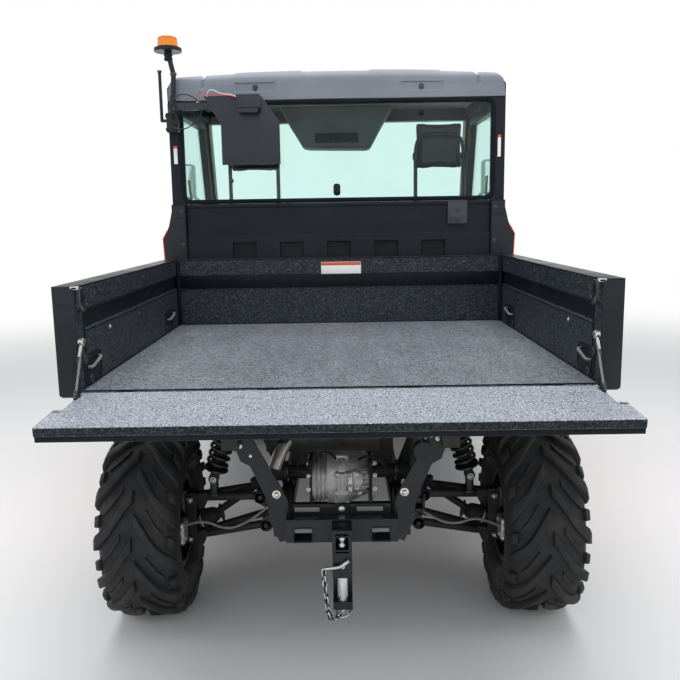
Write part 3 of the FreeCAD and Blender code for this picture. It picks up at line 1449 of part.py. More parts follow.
def bonnet_brackets():
    """Pins in the bay for the bonnet's hinge."""
    y0, z0 = bonnet_hinge()
    out = []
    for side in (-1, 1):
        x = side * 300
        parts = [rod((x - 34, y0, z0), (x + 34, y0, z0), 4)]
        for edge in (-1, 1):
            parts.append(box(x + edge * 26, x + edge * 32, y0 - 66, y0 + 8, z0 - 9, z0 + 9))
        out.append(join(*parts))
    return out


def wing():
    """Right front wing over the wheel arch."""
    back = a_post_front + 5
    front = front_end - 90
    x0 = nose_half + seat_gap
    x1 = door_outer_half
    top = cowl_height
    outline = [(back, 640), (back, top - 70), (front_axle + 120, top - 140), (front - 60, top - 260),
               (front, top - 340),
               (front, 600), (front_axle, 600)]
    block = prism(outline, "x", x0, x1)
    arch = rod((x0 - 10, front_axle, wheel_z), (x1 + 10, front_axle, wheel_z), arch_radius)
    trim = box(x0 - 10, x1 + 10, back - 5, front_axle, 500, 745)
    # Shoulder slopes down towards the outside
    chamfer = prism([(x1 + 1, top + 100), (x1 - 150, top + 100), (x1 - 150, top - 20),
                     (x1 + 1, top - 220)], "y",
                    back - 10, front + 10)
    return block.cut(arch).cut(trim).cut(chamfer)


def bumper():
    """Tube bar in front with a plate below it."""
    y = front_end - bumper_tube
    r = bumper_tube
    hoop = tube_path([(-380, y - 60, 520), (-360, y, 600), (-300, y, 740), (300, y, 740), (360, y, 600),
                      (380, y - 60, 520)], r)
    low = tube_path([(-380, y - 60, 520), (-330, y - 10, 460), (330, y - 10, 460), (380, y - 60, 520)], r)
    stays = []
    for side in (-1, 1):
        stays.append(box(side * (rail_x - 20), side * (rail_x + 20), front_end - 90 + seat_gap, y,
                         rail_bottom + 10, rail_top))
        stays.append(box(side * (rail_x - 20), side * (rail_x + 20), y - 30, y, rail_bottom + 10, 470))
    return join(hoop, low, *stays)


def grille():
    front = front_end - 60
    low = lamp_top - 220
    parts = [box(-230, 230, front + seat_gap, front + 5, low, lamp_top)]
    parts += [box(-220, 220, front + 5, front + 11, z, z + 12)
              for z in [low + 15 + 32 * i for i in range(7)]]
    return join(*parts)


def headlamp():
    front = front_end - 60
    lamp = box(250, 410, front + seat_gap, front + 26, lamp_top - 110, lamp_top)
    return lamp.makeFillet(10, lamp.Edges)


def side_panel():
    """Right body side between the rear wheel and the cab."""
    y0 = rear_axle + 400
    outline = [(y0 + 60, 420), (cab_rear - 8, 420), (cab_rear - 8, 850), (y0 - 40, 850), (y0 - 20, 640)]
    panel = prism(outline, "x", 768, 800)
    arch = rod((700, rear_axle, wheel_z), (900, rear_axle, wheel_z), arch_radius)
    stay = box(upper_rail_x + 25 + seat_gap, 768, cab_rear - 150, cab_rear - 110, 720, 750)
    return join(panel.cut(arch), stay)


# Things on the back of the cab
def plate_board():
    """Number plate board on its arm from the clamp at the left pillar."""
    y = cab_rear + board_ahead
    top = arm_bottom + 55
    outline = [(-575, top), (-327, top), (-249, top - 109), (-249, top - 291), (-504, top - 291),
               (-504, top - 118)]
    board = prism(outline, "y", y, y + 5)
    arm = box(-690 + seat_gap, -500, y + 5, y + 25, arm_bottom, arm_bottom + arm_height)
    lamp = prism([(-430, top), (-328, top), (-338, top - 75), (-420, top - 75)], "y", y - 40, y)
    return join(board, arm, lamp)


def beacon_mount():
    """Clamp on the left pillar, pole, flexible stem, base disc and L-shaped rod."""
    x = beacon_x
    y = cab_rear - 40
    clamp = join(box(-753, -702, y - 20, cab_rear - 6 - seat_gap, clamp_bottom, clamp_top),
                 box(-753, -window_half - seat_gap, cab_rear - 10, cab_rear - seat_gap,
                     clamp_bottom, clamp_top))
    z = beacon_base_height
    pole = tube_path([(-727, y, clamp_top - 6), (-716, y, z - 99), (x, y, z - 13)], 11)
    stem = rod((x, y, z - 22), (x, y, z), 16)
    base = rod((x, y, beacon_base_height - 6), (x, y, beacon_base_height + 10), beacon_base_radius)
    low = clamp_top - 31
    side_rod = tube_path([(-730, y, low), (-777, y, low), (-777, y, z - 83)], 7)
    top = arm_bottom + 35
    reach = box(-702, -690, cab_rear + board_ahead + 5, y + 10, clamp_top - 1, top)
    bridge = box(-745, -690, y - 20, y + 10, clamp_top - 6, top)
    return join(clamp, pole, stem, base, side_rod, bridge, reach)


def beacon_lens():
    y = cab_rear - 40
    z = beacon_base_height + 10 + seat_gap
    x = beacon_x
    return rod((x, y, z), (x, y, z + beacon_lens_height), beacon_lens_radius, beacon_lens_radius - 6)


# Cords, each from where it leaves one piece to where it enters another
def brake_hose(side):
    """Hose from the rear caliper to the frame's leg: x and height in one upright plane."""
    caliper = rear_disc_x - brake_gap - 18
    route = {1: ((caliper + 3, 318.3), (471, 361), (385, 325), (290, 365), (leg_outer - 3, 432.5)),
             -1: ((caliper + 3, 336.7), (486, 363), (399, 319), (318, 352), (264, 396),
                  (leg_outer - 3, 432))}[side]
    y = rear_axle - 95
    hose = cord("brake hose", [(side * x, y, z) for x, z in route], brake_hose_radius)
    return hose.common(box(side * leg_outer, side * caliper, y - 20, y + 20, 250, 500))


def lamp_wire(rows):
    """Wire from the clamp on the pillar to the board's arm: x, distance from the cab, height."""
    wire = cord("lamp wire", [(x, cab_rear + y, z) for x, y, z in rows], lamp_wire_radius)
    wire = wire.common(box(-800, -500, cab_rear - 200, cab_rear - 60, 1700, 2000))
    return wire.cut(box(-690, -500, cab_rear - 115, cab_rear - 95, arm_bottom, arm_bottom + arm_height))


upper_wire = ((-722, -58.5, 1817.6), (-722, -82, 1824), (-722, -102, 1848), (-718, -110, 1880),
              (-698, -110, 1908), (-664, -108, 1919), (-630, -106, 1910), (-606, -105, 1893),
              (-597, -105, 1878.5))
lower_wire = ((-727, -58.5, 1796.2), (-727, -86, 1792), (-706, -106, 1776), (-672, -108, 1768),
              (-636, -106, 1782), (-608, -105, 1808), (-590, -105, 1832), (-583.5, -105, 1851.5))


def build():
    os.makedirs("parts", exist_ok=True)
    save("main_frame", *main_frame())
    save("hitch_frame", hitch_frame())
    save("pin_hitch", pin_hitch())
    rear_arms, front_arms = suspension_arms()
    save("suspension_arms", *rear_arms, *front_arms)
    save("shock_absorbers", *pair(shock_absorber(rear_axle)), *pair(shock_absorber(front_axle)))
    save("rear_knuckles", *pair(rear_knuckle()))
    save("transaxle", transaxle())
    save("drive_shafts", *pair(drive_shaft()))
    save("engine", engine())
    save("exhaust", exhaust())
    save("bed_floor", bed_floor())
    save("bed_walls", *pair(bed_side()), bed_front_panel())
    save("tailgate", tailgate())
    save("tailgate_cables", *pair(tailgate_cable()))
    save("cylinder_barrel", cylinder_barrel())
    save("cylinder_rod", cylinder_rod())
    side = cab_side()
    save("cab_frame", *side, *[mirrored(piece) for piece in side], *cab_headers())
    save("cab_rear_panel", rear_panel(), *pair(corner_cover()))
    save("roof", roof())
    save("rear_window_seal", rear_window())
    save("cab_glass", rear_glass(), windscreen())
    save("cab_floor", *cab_floor(), *seat_base())
    save("seats", *seats())
    save("headrests", *headrests())
    save("dashboard", dashboard())
    save("steering_wheel", steering_wheel())
    save("steering_rack", steering_rack())
    save("front_body", join(nose(), *bonnet_brackets()), *pair(wing()))
    save("bonnet", bonnet())
    save("bumper", bumper(), grille())
    save("headlamps", *pair(headlamp()))
    save("side_panels", *pair(side_panel()))
    save("plate_board", plate_board())
    save("beacon_mount", beacon_mount())
    save("beacon_lens", beacon_lens())
    save("brake_hose_left", brake_hose(-1))
    save("brake_hose_right", brake_hose(1))
    save("lamp_wire_upper", lamp_wire(upper_wire))
    save("lamp_wire_lower", lamp_wire(lower_wire))
    for name, turn in (("left", mirrored), ("right", lambda s: s)):
        save("door_" + name, turn(door()))
        save("door_glass_" + name, turn(door_glass()))
        save("mirror_" + name, turn(mirror_unit()))
        save("front_knuckle_" + name, turn(front_knuckle()))
        save("front_rim_" + name, turn(rim(front_axle, front_rim_half, front_disc_x)))
        save("front_tyre_" + name, turn(tyre(front_axle, front_tyre_width, front_rim_half)))
        save("rear_rim_" + name, turn(rim(rear_axle, rear_rim_half, rear_disc_x)))
        save("rear_tyre_" + name, turn(tyre(rear_axle, rear_tyre_width, rear_rim_half)))


build()
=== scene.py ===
import math

import bmesh
import bpy
from mathutils import Matrix, Vector


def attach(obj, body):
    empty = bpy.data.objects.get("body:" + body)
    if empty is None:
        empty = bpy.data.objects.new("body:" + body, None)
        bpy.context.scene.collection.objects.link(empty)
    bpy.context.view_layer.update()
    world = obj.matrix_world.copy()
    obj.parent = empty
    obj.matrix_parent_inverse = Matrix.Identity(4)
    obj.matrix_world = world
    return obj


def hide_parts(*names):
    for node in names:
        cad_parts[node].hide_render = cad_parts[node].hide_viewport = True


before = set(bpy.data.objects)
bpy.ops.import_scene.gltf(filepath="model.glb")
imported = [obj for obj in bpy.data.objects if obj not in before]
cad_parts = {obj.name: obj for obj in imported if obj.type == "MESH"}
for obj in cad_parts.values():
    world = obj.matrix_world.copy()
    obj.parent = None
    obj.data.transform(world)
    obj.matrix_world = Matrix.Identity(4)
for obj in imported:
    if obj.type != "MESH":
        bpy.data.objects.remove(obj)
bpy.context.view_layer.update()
scene = bpy.context.scene
scene.view_settings.view_transform = "Standard"
MM = 0.001

# Places shared with the solids, in millimetres
CAB_REAR = 59.995
REAR_AXLE = -880.005
FRONT_AXLE = 1169.995
WHEEL_Z = 325.0
WHEEL_X = 665.0
GATE_PIN = Vector((0, -1375.005, 898.0))
GATE_DROOP = math.radians(3.94)
SEAT_X = (-395, 425)
HEAD_X = (-392, 476)

# Directions
BACK = (0, -1, 0)
FORWARD = (0, 1, 0)
LEFT = (-1, 0, 0)
RIGHT = (1, 0, 0)
UP = (0, 0, 1)
SIDEWAYS = Matrix.Rotation(math.pi / 2, 4, "Y")


# Camera at the photograph's place: 39.7 mm lens, a little down, level within a degree
SENSOR = 36
FOCAL_PIXELS = 750
PHOTO_PIXELS = 680


def look_from_behind():
    eye = Vector((0.011, -3.425005, 1.380))
    yaw = math.radians(-0.21)
    pitch = math.radians(9.29)
    roll = math.radians(0.91)
    ahead = Vector((math.sin(yaw) * math.cos(pitch), math.cos(yaw) * math.cos(pitch), -math.sin(pitch)))
    right = Vector((math.cos(yaw), -math.sin(yaw), 0))
    up = right.cross(ahead)
    turned_right = right * math.cos(roll) - up * math.sin(roll)
    turned_up = up * math.cos(roll) + right * math.sin(roll)
    turn = Matrix((turned_right, turned_up, -ahead)).transposed().to_4x4()
    data = bpy.data.cameras.new("behind")
    data.sensor_width = SENSOR
    data.lens = FOCAL_PIXELS / PHOTO_PIXELS * SENSOR
    data.clip_end = 100
    camera = bpy.data.objects.new("behind", data)
    camera.matrix_world = Matrix.Translation(eye) @ turn
    scene.collection.objects.link(camera)
    scene.camera = camera


look_from_behind()


# Finishes
finishes = {}


class Finish:
    """A node material, built up from the pattern's own coordinates in metres."""

    def __init__(self, name):
        self.material = bpy.data.materials.new(name)
        finishes[name] = self.material
        self.material.use_nodes = True
        self.tree = self.material.node_tree
        self.tree.nodes.clear()
        self.out = self.add("ShaderNodeOutputMaterial")
        self.skin = self.add("ShaderNodeBsdfPrincipled")
        self.join(self.skin.outputs[0], self.out.inputs[0])
        self.place = self.add("ShaderNodeTexCoord").outputs["Object"]

    def add(self, kind, **settings):
        node = self.tree.nodes.new(kind)
        for key, value in settings.items():
            setattr(node, key, value)
        return node

    def join(self, source, target):
        self.tree.links.new(source, target)

    def feed(self, socket, value):
        """Another node's output, a colour or a number for one socket."""
        if isinstance(value, bpy.types.NodeSocket):
            self.join(value, socket)
        else:
            socket.default_value = (*value, 1.0) if isinstance(value, tuple) else value

    def set(self, name, value):
        self.feed(self.skin.inputs[name], value)

    def stretched(self, scale):
        node = self.add("ShaderNodeMapping")
        node.inputs["Scale"].default_value = scale
        self.join(self.place, node.inputs["Vector"])
        return node.outputs[0]

    def noise(self, scale, detail=4.0, rough=0.55, bend=0.0, stretch=None):
        node = self.add("ShaderNodeTexNoise")
        for name, value in (("Scale", scale), ("Detail", detail), ("Roughness", rough), ("Distortion", bend)):
            node.inputs[name].default_value = value
        self.join(self.stretched(stretch) if stretch else self.place, node.inputs["Vector"])
        return node.outputs["Fac"]

    def cells(self, scale):
        node = self.add("ShaderNodeTexVoronoi", feature="F1")
        node.inputs["Scale"].default_value = scale
        self.join(self.place, node.inputs["Vector"])
        return node.outputs["Distance"]

    def range(self, source, low, high, to_low=0.0, to_high=1.0):
        node = self.add("ShaderNodeMapRange")
        node.interpolation_type = "SMOOTHSTEP"
        self.join(source, node.inputs["Value"])
        for name, value in (("From Min", low), ("From Max", high), ("To Min", to_low), ("To Max", to_high)):
            node.inputs[name].default_value = value
        return node.outputs[0]

    def sum(self, operation, a, b):
        node = self.add("ShaderNodeMath", operation=operation)
        self.feed(node.inputs[0], a)
        self.feed(node.inputs[1], b)
        return node.outputs[0]

    def mix(self, share, first, second):
        node = self.add("ShaderNodeMix", data_type="RGBA")
        for index, value in ((0, share), (6, first), (7, second)):
            self.feed(node.inputs[index], value)
        return node.outputs[2]

    def blend(self, share, first, second):
        """Two shaders mixed into the material's output."""
        both = self.add("ShaderNodeMixShader")
        for socket, source in zip(both.inputs, (share, first, second)):
            self.join(source, socket)
        self.join(both.outputs[0], self.out.inputs[0])

    def bump(self, *layers):
        """Each layer: height, strength, depth in metres."""
        last = None
        for height, strength, depth in layers:
            node = self.add("ShaderNodeBump")
            node.inputs["Strength"].default_value = strength
            node.inputs["Distance"].default_value = depth
            self.join(height, node.inputs["Height"])
            if last:
                self.join(last, node.inputs["Normal"])
            last = node.outputs[0]
        self.join(last, self.skin.inputs["Normal"])


def grey(level):
    return (level, level, level)


def plain(name, tone, second, rough, patch=5.0, grain=0.0, grain_depth=0.0004, metal=0.0, coat=0.0):
    """Paint, plastic or metal: two tones in soft patches, uneven gloss and a fine grain."""
    f = Finish(name)
    broad = f.noise(patch, 5.0)
    share = f.range(broad, 0.35, 0.68)
    fine = f.noise(patch * 9, 3.0)
    f.set("Base Color", f.mix(f.sum("MULTIPLY", share, f.range(fine, 0.2, 0.8, 0.5, 1.0)), tone, second))
    f.set("Roughness", f.range(f.noise(patch * 3, 4.0), 0.3, 0.7, rough[0], rough[1]))
    f.set("Metallic", metal)
    f.set("Coat Weight", coat)
    f.set("Coat Roughness", 0.12)
    if grain:
        f.bump((f.noise(grain, 2.0, 0.6), 0.6, grain_depth))
    return f


def shine_of(name, shine):
    skin = next(n for n in finishes[name].node_tree.nodes if n.type == "BSDF_PRINCIPLED")
    skin.inputs["Specular IOR Level"].default_value = shine


def make_liner(name, tone, rubbed_and_sheen, points, streak, shine=0.5):
    """Sprayed bed lining: a coarse speckle of painted shade in the grain's pits and painted highlights on its
    peaks, over soft streaks where loads slide.
    """
    f = Finish(name)
    grain = f.noise(190, 3.0, 0.7)
    lumps = f.cells(260)
    patches = f.range(f.noise(2.4, 5.0, 0.6), 0.3, 0.7)
    marks = f.range(f.noise(5.0, 6.0, 0.6, 0.3, streak), 0.35, 0.7)
    rubbed_and_sheen_share = f.sum("ADD", f.sum("MULTIPLY", patches, 0.45), f.sum("MULTIPLY", marks, 0.55))
    base = f.mix(f.sum("MULTIPLY", rubbed_and_sheen_share, 0.8), tone, rubbed_and_sheen)
    # Painted shade: where the grain sinks in the bump, the colour falls to a third of the tone.
    dark = f.mix(f.range(grain, 0.38, 0.50), tuple(c * 0.30 for c in tone), base)
    # Painted highlight: where the grain rises in the bump, the colour lifts towards the points tone.
    f.set("Base Color", f.mix(f.sum("MULTIPLY", f.range(grain, 0.53, 0.66), 0.8), dark, points))
    f.set("Roughness", f.range(f.noise(40, 3.0), 0.3, 0.7, 0.40, 0.58))
    f.set("Specular IOR Level", shine)
    f.bump((grain, 0.8, 0.0012), (lumps, 0.35, 0.0008))


def make_finishes():
    # Name, tone, second tone, gloss range, patch size, then as needed grain, grain depth, metal, coat
    rows = (
        ("black_paint", (0.007, 0.008, 0.01), (0.014, 0.016, 0.019), (0.26, 0.44), 6, 700, 0.00015, 0, 0.25),
        ("dusty_paint", grey(0.014), (0.034, 0.032, 0.029), (0.34, 0.58), 5.0, 600, 0.0002),
        ("cab_plastic", (0.008, 0.0105, 0.0145), (0.013, 0.017, 0.022), (0.38, 0.52), 4.0, 900, 0.0002),
        ("roof_plastic", (0.165, 0.184, 0.216), (0.195, 0.217, 0.252), (0.34, 0.46), 3.0, 1100, 0.0002),
        ("floor_plastic", grey(0.03), grey(0.045), (0.5, 0.7), 5.0, 800, 0.0003),
        ("rubber", grey(0.014), grey(0.024), (0.5, 0.7), 8.0, 900, 0.0002),
        ("tyre", (0.017, 0.0175, 0.019), (0.034, 0.033, 0.033), (0.52, 0.78), 7.0, 500, 0.0003),
        ("zinc", grey(0.62), grey(0.5), (0.22, 0.4), 20.0, 1500, 0.0001, 1.0),
        ("bright_bolt", grey(0.72), (0.6, 0.58, 0.52), (0.2, 0.36), 30.0, 0, 0, 1.0),
        ("cast", (0.60, 0.60, 0.59), (0.30, 0.295, 0.285), (0.42, 0.62), 12.0, 420, 0.0006, 0.85),
        ("muffler_steel", (0.030, 0.029, 0.028), (0.015, 0.014, 0.013), (0.4, 0.6), 8.0, 500, 0.0002, 0.7),
        ("steel_pipe", (0.4, 0.39, 0.36), (0.2, 0.16, 0.12), (0.34, 0.5), 10.0, 500, 0.0002, 1.0),
        ("disc_steel", grey(0.5), grey(0.36), (0.3, 0.46), 22.0, 700, 0.0001, 1.0),
        ("engine_grey", grey(0.05), grey(0.1), (0.45, 0.65), 9.0, 400, 0.0005, 0.3),
        ("chrome", grey(0.75), grey(0.7), (0.06, 0.14), 10.0, 0, 0, 1.0),
        ("orange", (0.74, 0.085, 0.012), (0.66, 0.07, 0.010), (0.26, 0.38), 3.0, 900, 0.0001, 0, 0.25),
        ("seat_vinyl", grey(0.018), grey(0.026), (0.38, 0.52), 6.0, 800, 0.0003),
        ("spring_black", grey(0.007), grey(0.011), (0.3, 0.42), 8.0, 0, 0, 0, 0.15),
        ("label_white", (0.8, 0.8, 0.78), (0.74, 0.74, 0.72), (0.35, 0.5), 8.0, 0, 0, 0, 0.2),
        ("label_red", (0.62, 0.1, 0.035), (0.58, 0.09, 0.03), (0.35, 0.5), 8.0, 0, 0, 0, 0.2),
        ("board_black", (0.016, 0.020, 0.028), (0.024, 0.029, 0.039), (0.24, 0.4), 4.0, 900, 0.0001, 0, 0.15),
        ("sleeve_grey", grey(0.2), grey(0.14), (0.4, 0.6), 30.0, 900, 0.0002),
        ("hose_rubber", (0.20, 0.21, 0.23), (0.13, 0.135, 0.15), (0.4, 0.55), 40.0, 900, 0.0002),
        ("wire_black", grey(0.012), grey(0.02), (0.35, 0.5), 40.0),
        ("wire_white", grey(0.62), grey(0.5), (0.35, 0.5), 40.0),
        ("wire_red", (0.55, 0.03, 0.02), (0.45, 0.02, 0.015), (0.35, 0.5), 40.0),
        ("seal_rubber", (0.004, 0.0065, 0.010), (0.008, 0.012, 0.017), (0.42, 0.58), 5.0, 800, 0.0002),
        ("bracket_grey", (0.040, 0.045, 0.054), (0.052, 0.058, 0.068), (0.4, 0.55), 8.0, 700, 0.0002, 0.3),
        ("console_grey", (0.10, 0.11, 0.12), (0.13, 0.14, 0.15), (0.45, 0.6), 4.0, 700, 0.0002),
        ("lamp_clear", (0.86, 0.9, 0.92), (0.8, 0.84, 0.86), (0.08, 0.16), 20.0, 0, 0, 0, 0.5),
        ("dark_bolt", grey(0.09), grey(0.05), (0.28, 0.45), 30.0, 0, 0, 0.9),
        ("post_plastic", (0.010, 0.012, 0.016), (0.017, 0.020, 0.025), (0.3, 0.45), 4.0, 900, 0.00015),
        ("rim_black", grey(0.009), grey(0.015), (0.24, 0.4), 7.0, 900, 0.0001, 0, 0.2),
        ("liner_band", (0.0045, 0.0065, 0.010), (0.008, 0.011, 0.016), (0.34, 0.5), 6.0, 900, 0.0002),
    )
    for row in rows:
        plain(*row)
    for name, shine in (("cab_plastic", 0.22), ("seal_rubber", 0.12), ("liner_band", 0.14),
                        ("post_plastic", 0.25), ("board_black", 0.3), ("dusty_paint", 0.25), ("rubber", 0.2),
                        ("tyre", 0.3), ("seat_vinyl", 0.35), ("black_paint", 0.22)):
        shine_of(name, shine)
    # Each liner: name, tone, second tone (wear, and painted sheen on the gate), tone of the painted
    # highlights on the grain's peaks, streak stretch, shine
    make_liner("liner_wall", (0.016, 0.020, 0.026), (0.026, 0.032, 0.040), (0.10, 0.115, 0.135),
               (1.0, 1.0, 2.5), 0.3)
    make_liner("liner_floor", (0.115, 0.13, 0.148), (0.19, 0.21, 0.235), (0.30, 0.33, 0.37),
               (3.0, 0.6, 1.0))
    # Painted sheen: the gate's tones and highlight points are lightened to stand for a grazing sheen on its
    # top.
    make_liner("sheen_lit_gate_liner", (0.235, 0.26, 0.30), (0.31, 0.34, 0.39), (0.56, 0.60, 0.67),
               (1.0, 2.2, 1.0))
    make_liner("gate_edge", (0.012, 0.015, 0.019), (0.02, 0.025, 0.031), (0.08, 0.09, 0.105),
               (1.0, 2.2, 1.0), 0.2)
    make_glass("glass", (0.90, 0.987, 0.969))
    make_glass("lamp_glass", (0.95, 0.97, 0.98))
    lens = plain("amber", (0.9, 0.3, 0.02), (0.85, 0.22, 0.015), (0.12, 0.2), 20.0)
    lens.set("Transmission Weight", 0.55)
    lens.set("IOR", 1.49)
    plain("mirror", grey(0.85), grey(0.82), (0.02, 0.05), 4.0, metal=1.0)


def make_glass(name, tint):
    """Thin pane: mostly clear with its tint, and reflections that grow to the edges."""
    f = Finish(name)
    clear = f.add("ShaderNodeBsdfTransparent")
    f.feed(clear.inputs[0], tint)
    gloss = f.add("ShaderNodeBsdfGlossy")
    gloss.inputs["Roughness"].default_value = 0.02
    edge = f.add("ShaderNodeFresnel")
    edge.inputs[0].default_value = 1.5
    smear = f.range(f.noise(3.0, 5.0), 0.4, 0.7, 0.0, 0.05)
    share = f.sum("MULTIPLY", f.sum("ADD", edge.outputs[0], smear), 0.35)
    f.blend(share, clear.outputs[0], gloss.outputs[0])


make_finishes()


# Stage
def make_stage():
    """White floor that fades into the background, an even world and four soft boxes."""
    make_floor()
    make_world()
    # Name, place, size, power: one large softbox above, one behind the camera, one at each side
    rows = (("above", (0, -0.6, 4.6), (4.5, 4.5), 210),
            ("behind", (-0.4, -5.5, 2.5), (6.0, 3.4), 55),
            ("left", (-4.5, -1.5, 1.8), (2.0, 3.0), 40),
            ("right", (4.5, -1.5, 1.8), (2.0, 3.0), 40))
    aim = Vector((0, -0.3, 0.7))
    for name, place, size, power in rows:
        data = bpy.data.lights.new(name, "AREA")
        data.shape = "RECTANGLE"
        data.size, data.size_y = size
        data.energy = power
        lamp = bpy.data.objects.new(name, data)
        lamp.location = place
        lamp.visible_glossy = False
        lamp.rotation_euler = (aim - Vector(place)).to_track_quat("-Z", "Y").to_euler()
        scene.collection.objects.link(lamp)


def make_floor():
    bm = bmesh.new()
    bmesh.ops.create_circle(bm, cap_ends=True, radius=40, segments=64)
    mesh = bpy.data.meshes.new("floor")
    bm.to_mesh(mesh)
    bm.free()
    floor = bpy.data.objects.new("studio_floor", mesh)
    scene.collection.objects.link(floor)
    f = Finish("studio_floor")
    f.set("Base Color", (0.8, 0.8, 0.8))
    f.set("Roughness", 0.85)
    distance = f.add("ShaderNodeVectorMath", operation="LENGTH")
    f.join(f.place, distance.inputs[0])
    fade = f.range(distance.outputs["Value"], 3.0, 9.0)
    rays = f.add("ShaderNodeLightPath").outputs
    seen = f.sum("MAXIMUM", rays["Is Camera Ray"], rays["Is Glossy Ray"])
    seen = f.sum("MAXIMUM", seen, rays["Is Transmission Ray"])
    white = f.add("ShaderNodeEmission")
    white.inputs["Strength"].default_value = 1.0
    f.blend(f.sum("MULTIPLY", fade, seen), f.skin.outputs[0], white.outputs[0])
    mesh.materials.append(f.material)


def make_world():
    """White where it is seen or mirrored, softer and a little blue where it lights."""
    world = bpy.data.worlds.new("studio")
    scene.world = world
    world.use_nodes = True
    nodes = world.node_tree.nodes
    join = world.node_tree.links.new
    nodes.clear()
    out = nodes.new("ShaderNodeOutputWorld")
    seen = nodes.new("ShaderNodeBackground")
    seen.inputs[0].default_value = (1, 1, 1, 1)
    lit = nodes.new("ShaderNodeBackground")
    lit.inputs[0].default_value = (0.93, 0.97, 1.0, 1)
    lit.inputs[1].default_value = 0.5
    rays = nodes.new("ShaderNodeLightPath")
    share = rays.outputs["Is Camera Ray"]
    for kind in ("Is Glossy Ray", "Is Transmission Ray"):
        most = nodes.new("ShaderNodeMath")
        most.operation = "MAXIMUM"
        join(share, most.inputs[0])
        join(rays.outputs[kind], most.inputs[1])
        share = most.outputs[0]
    both = nodes.new("ShaderNodeMixShader")
    for socket, source in zip(both.inputs, (share, lit.outputs[0], seen.outputs[0])):
        join(source, socket)
    join(both.outputs[0], out.inputs[0])


make_stage()


# Modelling tools: every measure from here on is in millimetres
class Shape:
    """Parts gathered into one piece, each in the finish that is in use when it is put in."""

    def __init__(self, finish):
        self.bm = bmesh.new()
        self.finishes = []
        self.use(finish)

    def use(self, finish):
        if finish not in self.finishes:
            self.finishes.append(finish)
        self.slot = self.finishes.index(finish)
        return self

    def put(self, *parts):
        for part in parts:
            for face in part.faces:
                face.material_index = self.slot
            mesh = bpy.data.meshes.new("part")
            part.to_mesh(mesh)
            part.free()
            self.bm.from_mesh(mesh)
            bpy.data.meshes.remove(mesh)
        return self

    def stamp(self, pattern, *places):
        """A copy of one part at each place, turned right side out where the place mirrors it."""
        for place in places:
            copy = pattern.copy()
            copy.transform(place)
            if place.determinant() < 0:
                bmesh.ops.reverse_faces(copy, faces=copy.faces)
            self.put(copy)
        pattern.free()
        return self

    def both(self, *parts):
        """Each part where it is and mirrored on the other side."""
        for part in parts:
            self.stamp(part, *BOTH_SIDES)
        return self

    def make(self, name, body="chassis", replaces=(), sharp=36):
        bm = self.bm
        bmesh.ops.scale(bm, vec=(MM, MM, MM), verts=bm.verts)
        for face in bm.faces:
            face.smooth = True
        for edge in bm.edges:
            edge.smooth = edge.calc_face_angle(0.0) < math.radians(sharp)
        mesh = bpy.data.meshes.new(name)
        bm.to_mesh(mesh)
        bm.free()
        for finish in self.finishes:
            mesh.materials.append(finishes[finish])
        obj = bpy.data.objects.new(name, mesh)
        scene.collection.objects.link(obj)
        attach(obj, body)
        if replaces:
            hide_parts(*replaces)
        return obj


def facing(axis):
    return Vector(axis).to_track_quat("Z", "Y").to_matrix().to_4x4()


def moved(x, y, z):
    return Matrix.Translation((x, y, z))


MIRRORED = Matrix.Diagonal((-1, 1, 1, 1))
BOTH_SIDES = (Matrix.Identity(4), MIRRORED)


def eased(b, edge, segments=2, angle=30):
    """Round every edge that is sharper than the angle."""
    if edge:
        limit = math.radians(angle)
        sharp = [e for e in b.edges if len(e.link_faces) == 2 and e.calc_face_angle(0.0) > limit]
        bmesh.ops.bevel(b, geom=sharp, offset=edge, offset_type="OFFSET", segments=segments, profile=0.5,
                        affect="EDGES", clamp_overlap=True, material=-1)
    return b


def block(low, high, edge=0.0, segments=2):
    b = bmesh.new()
    size = Vector(high) - Vector(low)
    middle = (Vector(high) + Vector(low)) / 2
    bmesh.ops.create_cube(b, size=1.0, matrix=Matrix.Translation(middle) @ Matrix.Diagonal((*size, 1.0)))
    return eased(b, edge, segments)


def rod(start, end, radius, end_radius=None, sides=20, edge=0.0):
    b = bmesh.new()
    start = Vector(start)
    end = Vector(end)
    place = Matrix.Translation((start + end) / 2) @ facing(end - start)
    bmesh.ops.create_cone(b, cap_ends=True, segments=sides, radius1=radius,
                          radius2=radius if end_radius is None else end_radius,
                          depth=(end - start).length, matrix=place)
    return eased(b, edge)


def turned(profile, at=(0, 0, 0), axis=(0, 0, 1), sides=32, ring=False):
    """Turn a profile of (radius, height) about an axis; a ring closes its profile on itself."""
    b = bmesh.new()
    verts = [b.verts.new((r, 0, h)) for r, h in profile]
    pairs = list(zip(verts, verts[1:]))
    if ring:
        pairs.append((verts[-1], verts[0]))
    edges = [b.edges.new(pair) for pair in pairs]
    bmesh.ops.spin(b, geom=verts + edges, cent=(0, 0, 0), axis=(0, 0, 1), angle=math.tau, steps=sides,
                   use_merge=True)
    bmesh.ops.remove_doubles(b, verts=b.verts, dist=0.001)
    bmesh.ops.recalc_face_normals(b, faces=b.faces)
    b.transform(Matrix.Translation(at) @ facing(axis))
    return b


PLANES = {"x": lambda a, b, d: (d, a, b), "y": lambda a, b, d: (a, d, b), "z": lambda a, b, d: (a, b, d)}


def plate(outline, plane, start, depth, edge=0.0, segments=2):
    """A flat outline, drawn across the named axis, pushed out along it."""
    b = bmesh.new()
    face = b.faces.new([b.verts.new(PLANES[plane](u, v, start)) for u, v in outline])
    return pushed(b, [face], plane, depth, edge, segments, 30)


def pushed(b, faces, plane, depth, edge, segments, angle):
    """Faces drawn across the named axis, pushed out along it, with their edges rounded."""
    grown = bmesh.ops.extrude_face_region(b, geom=faces)["geom"]
    bmesh.ops.translate(b, verts=[g for g in grown if isinstance(g, bmesh.types.BMVert)],
                        vec=PLANES[plane](0, 0, depth))
    bmesh.ops.recalc_face_normals(b, faces=b.faces)
    return eased(b, edge, segments, angle)


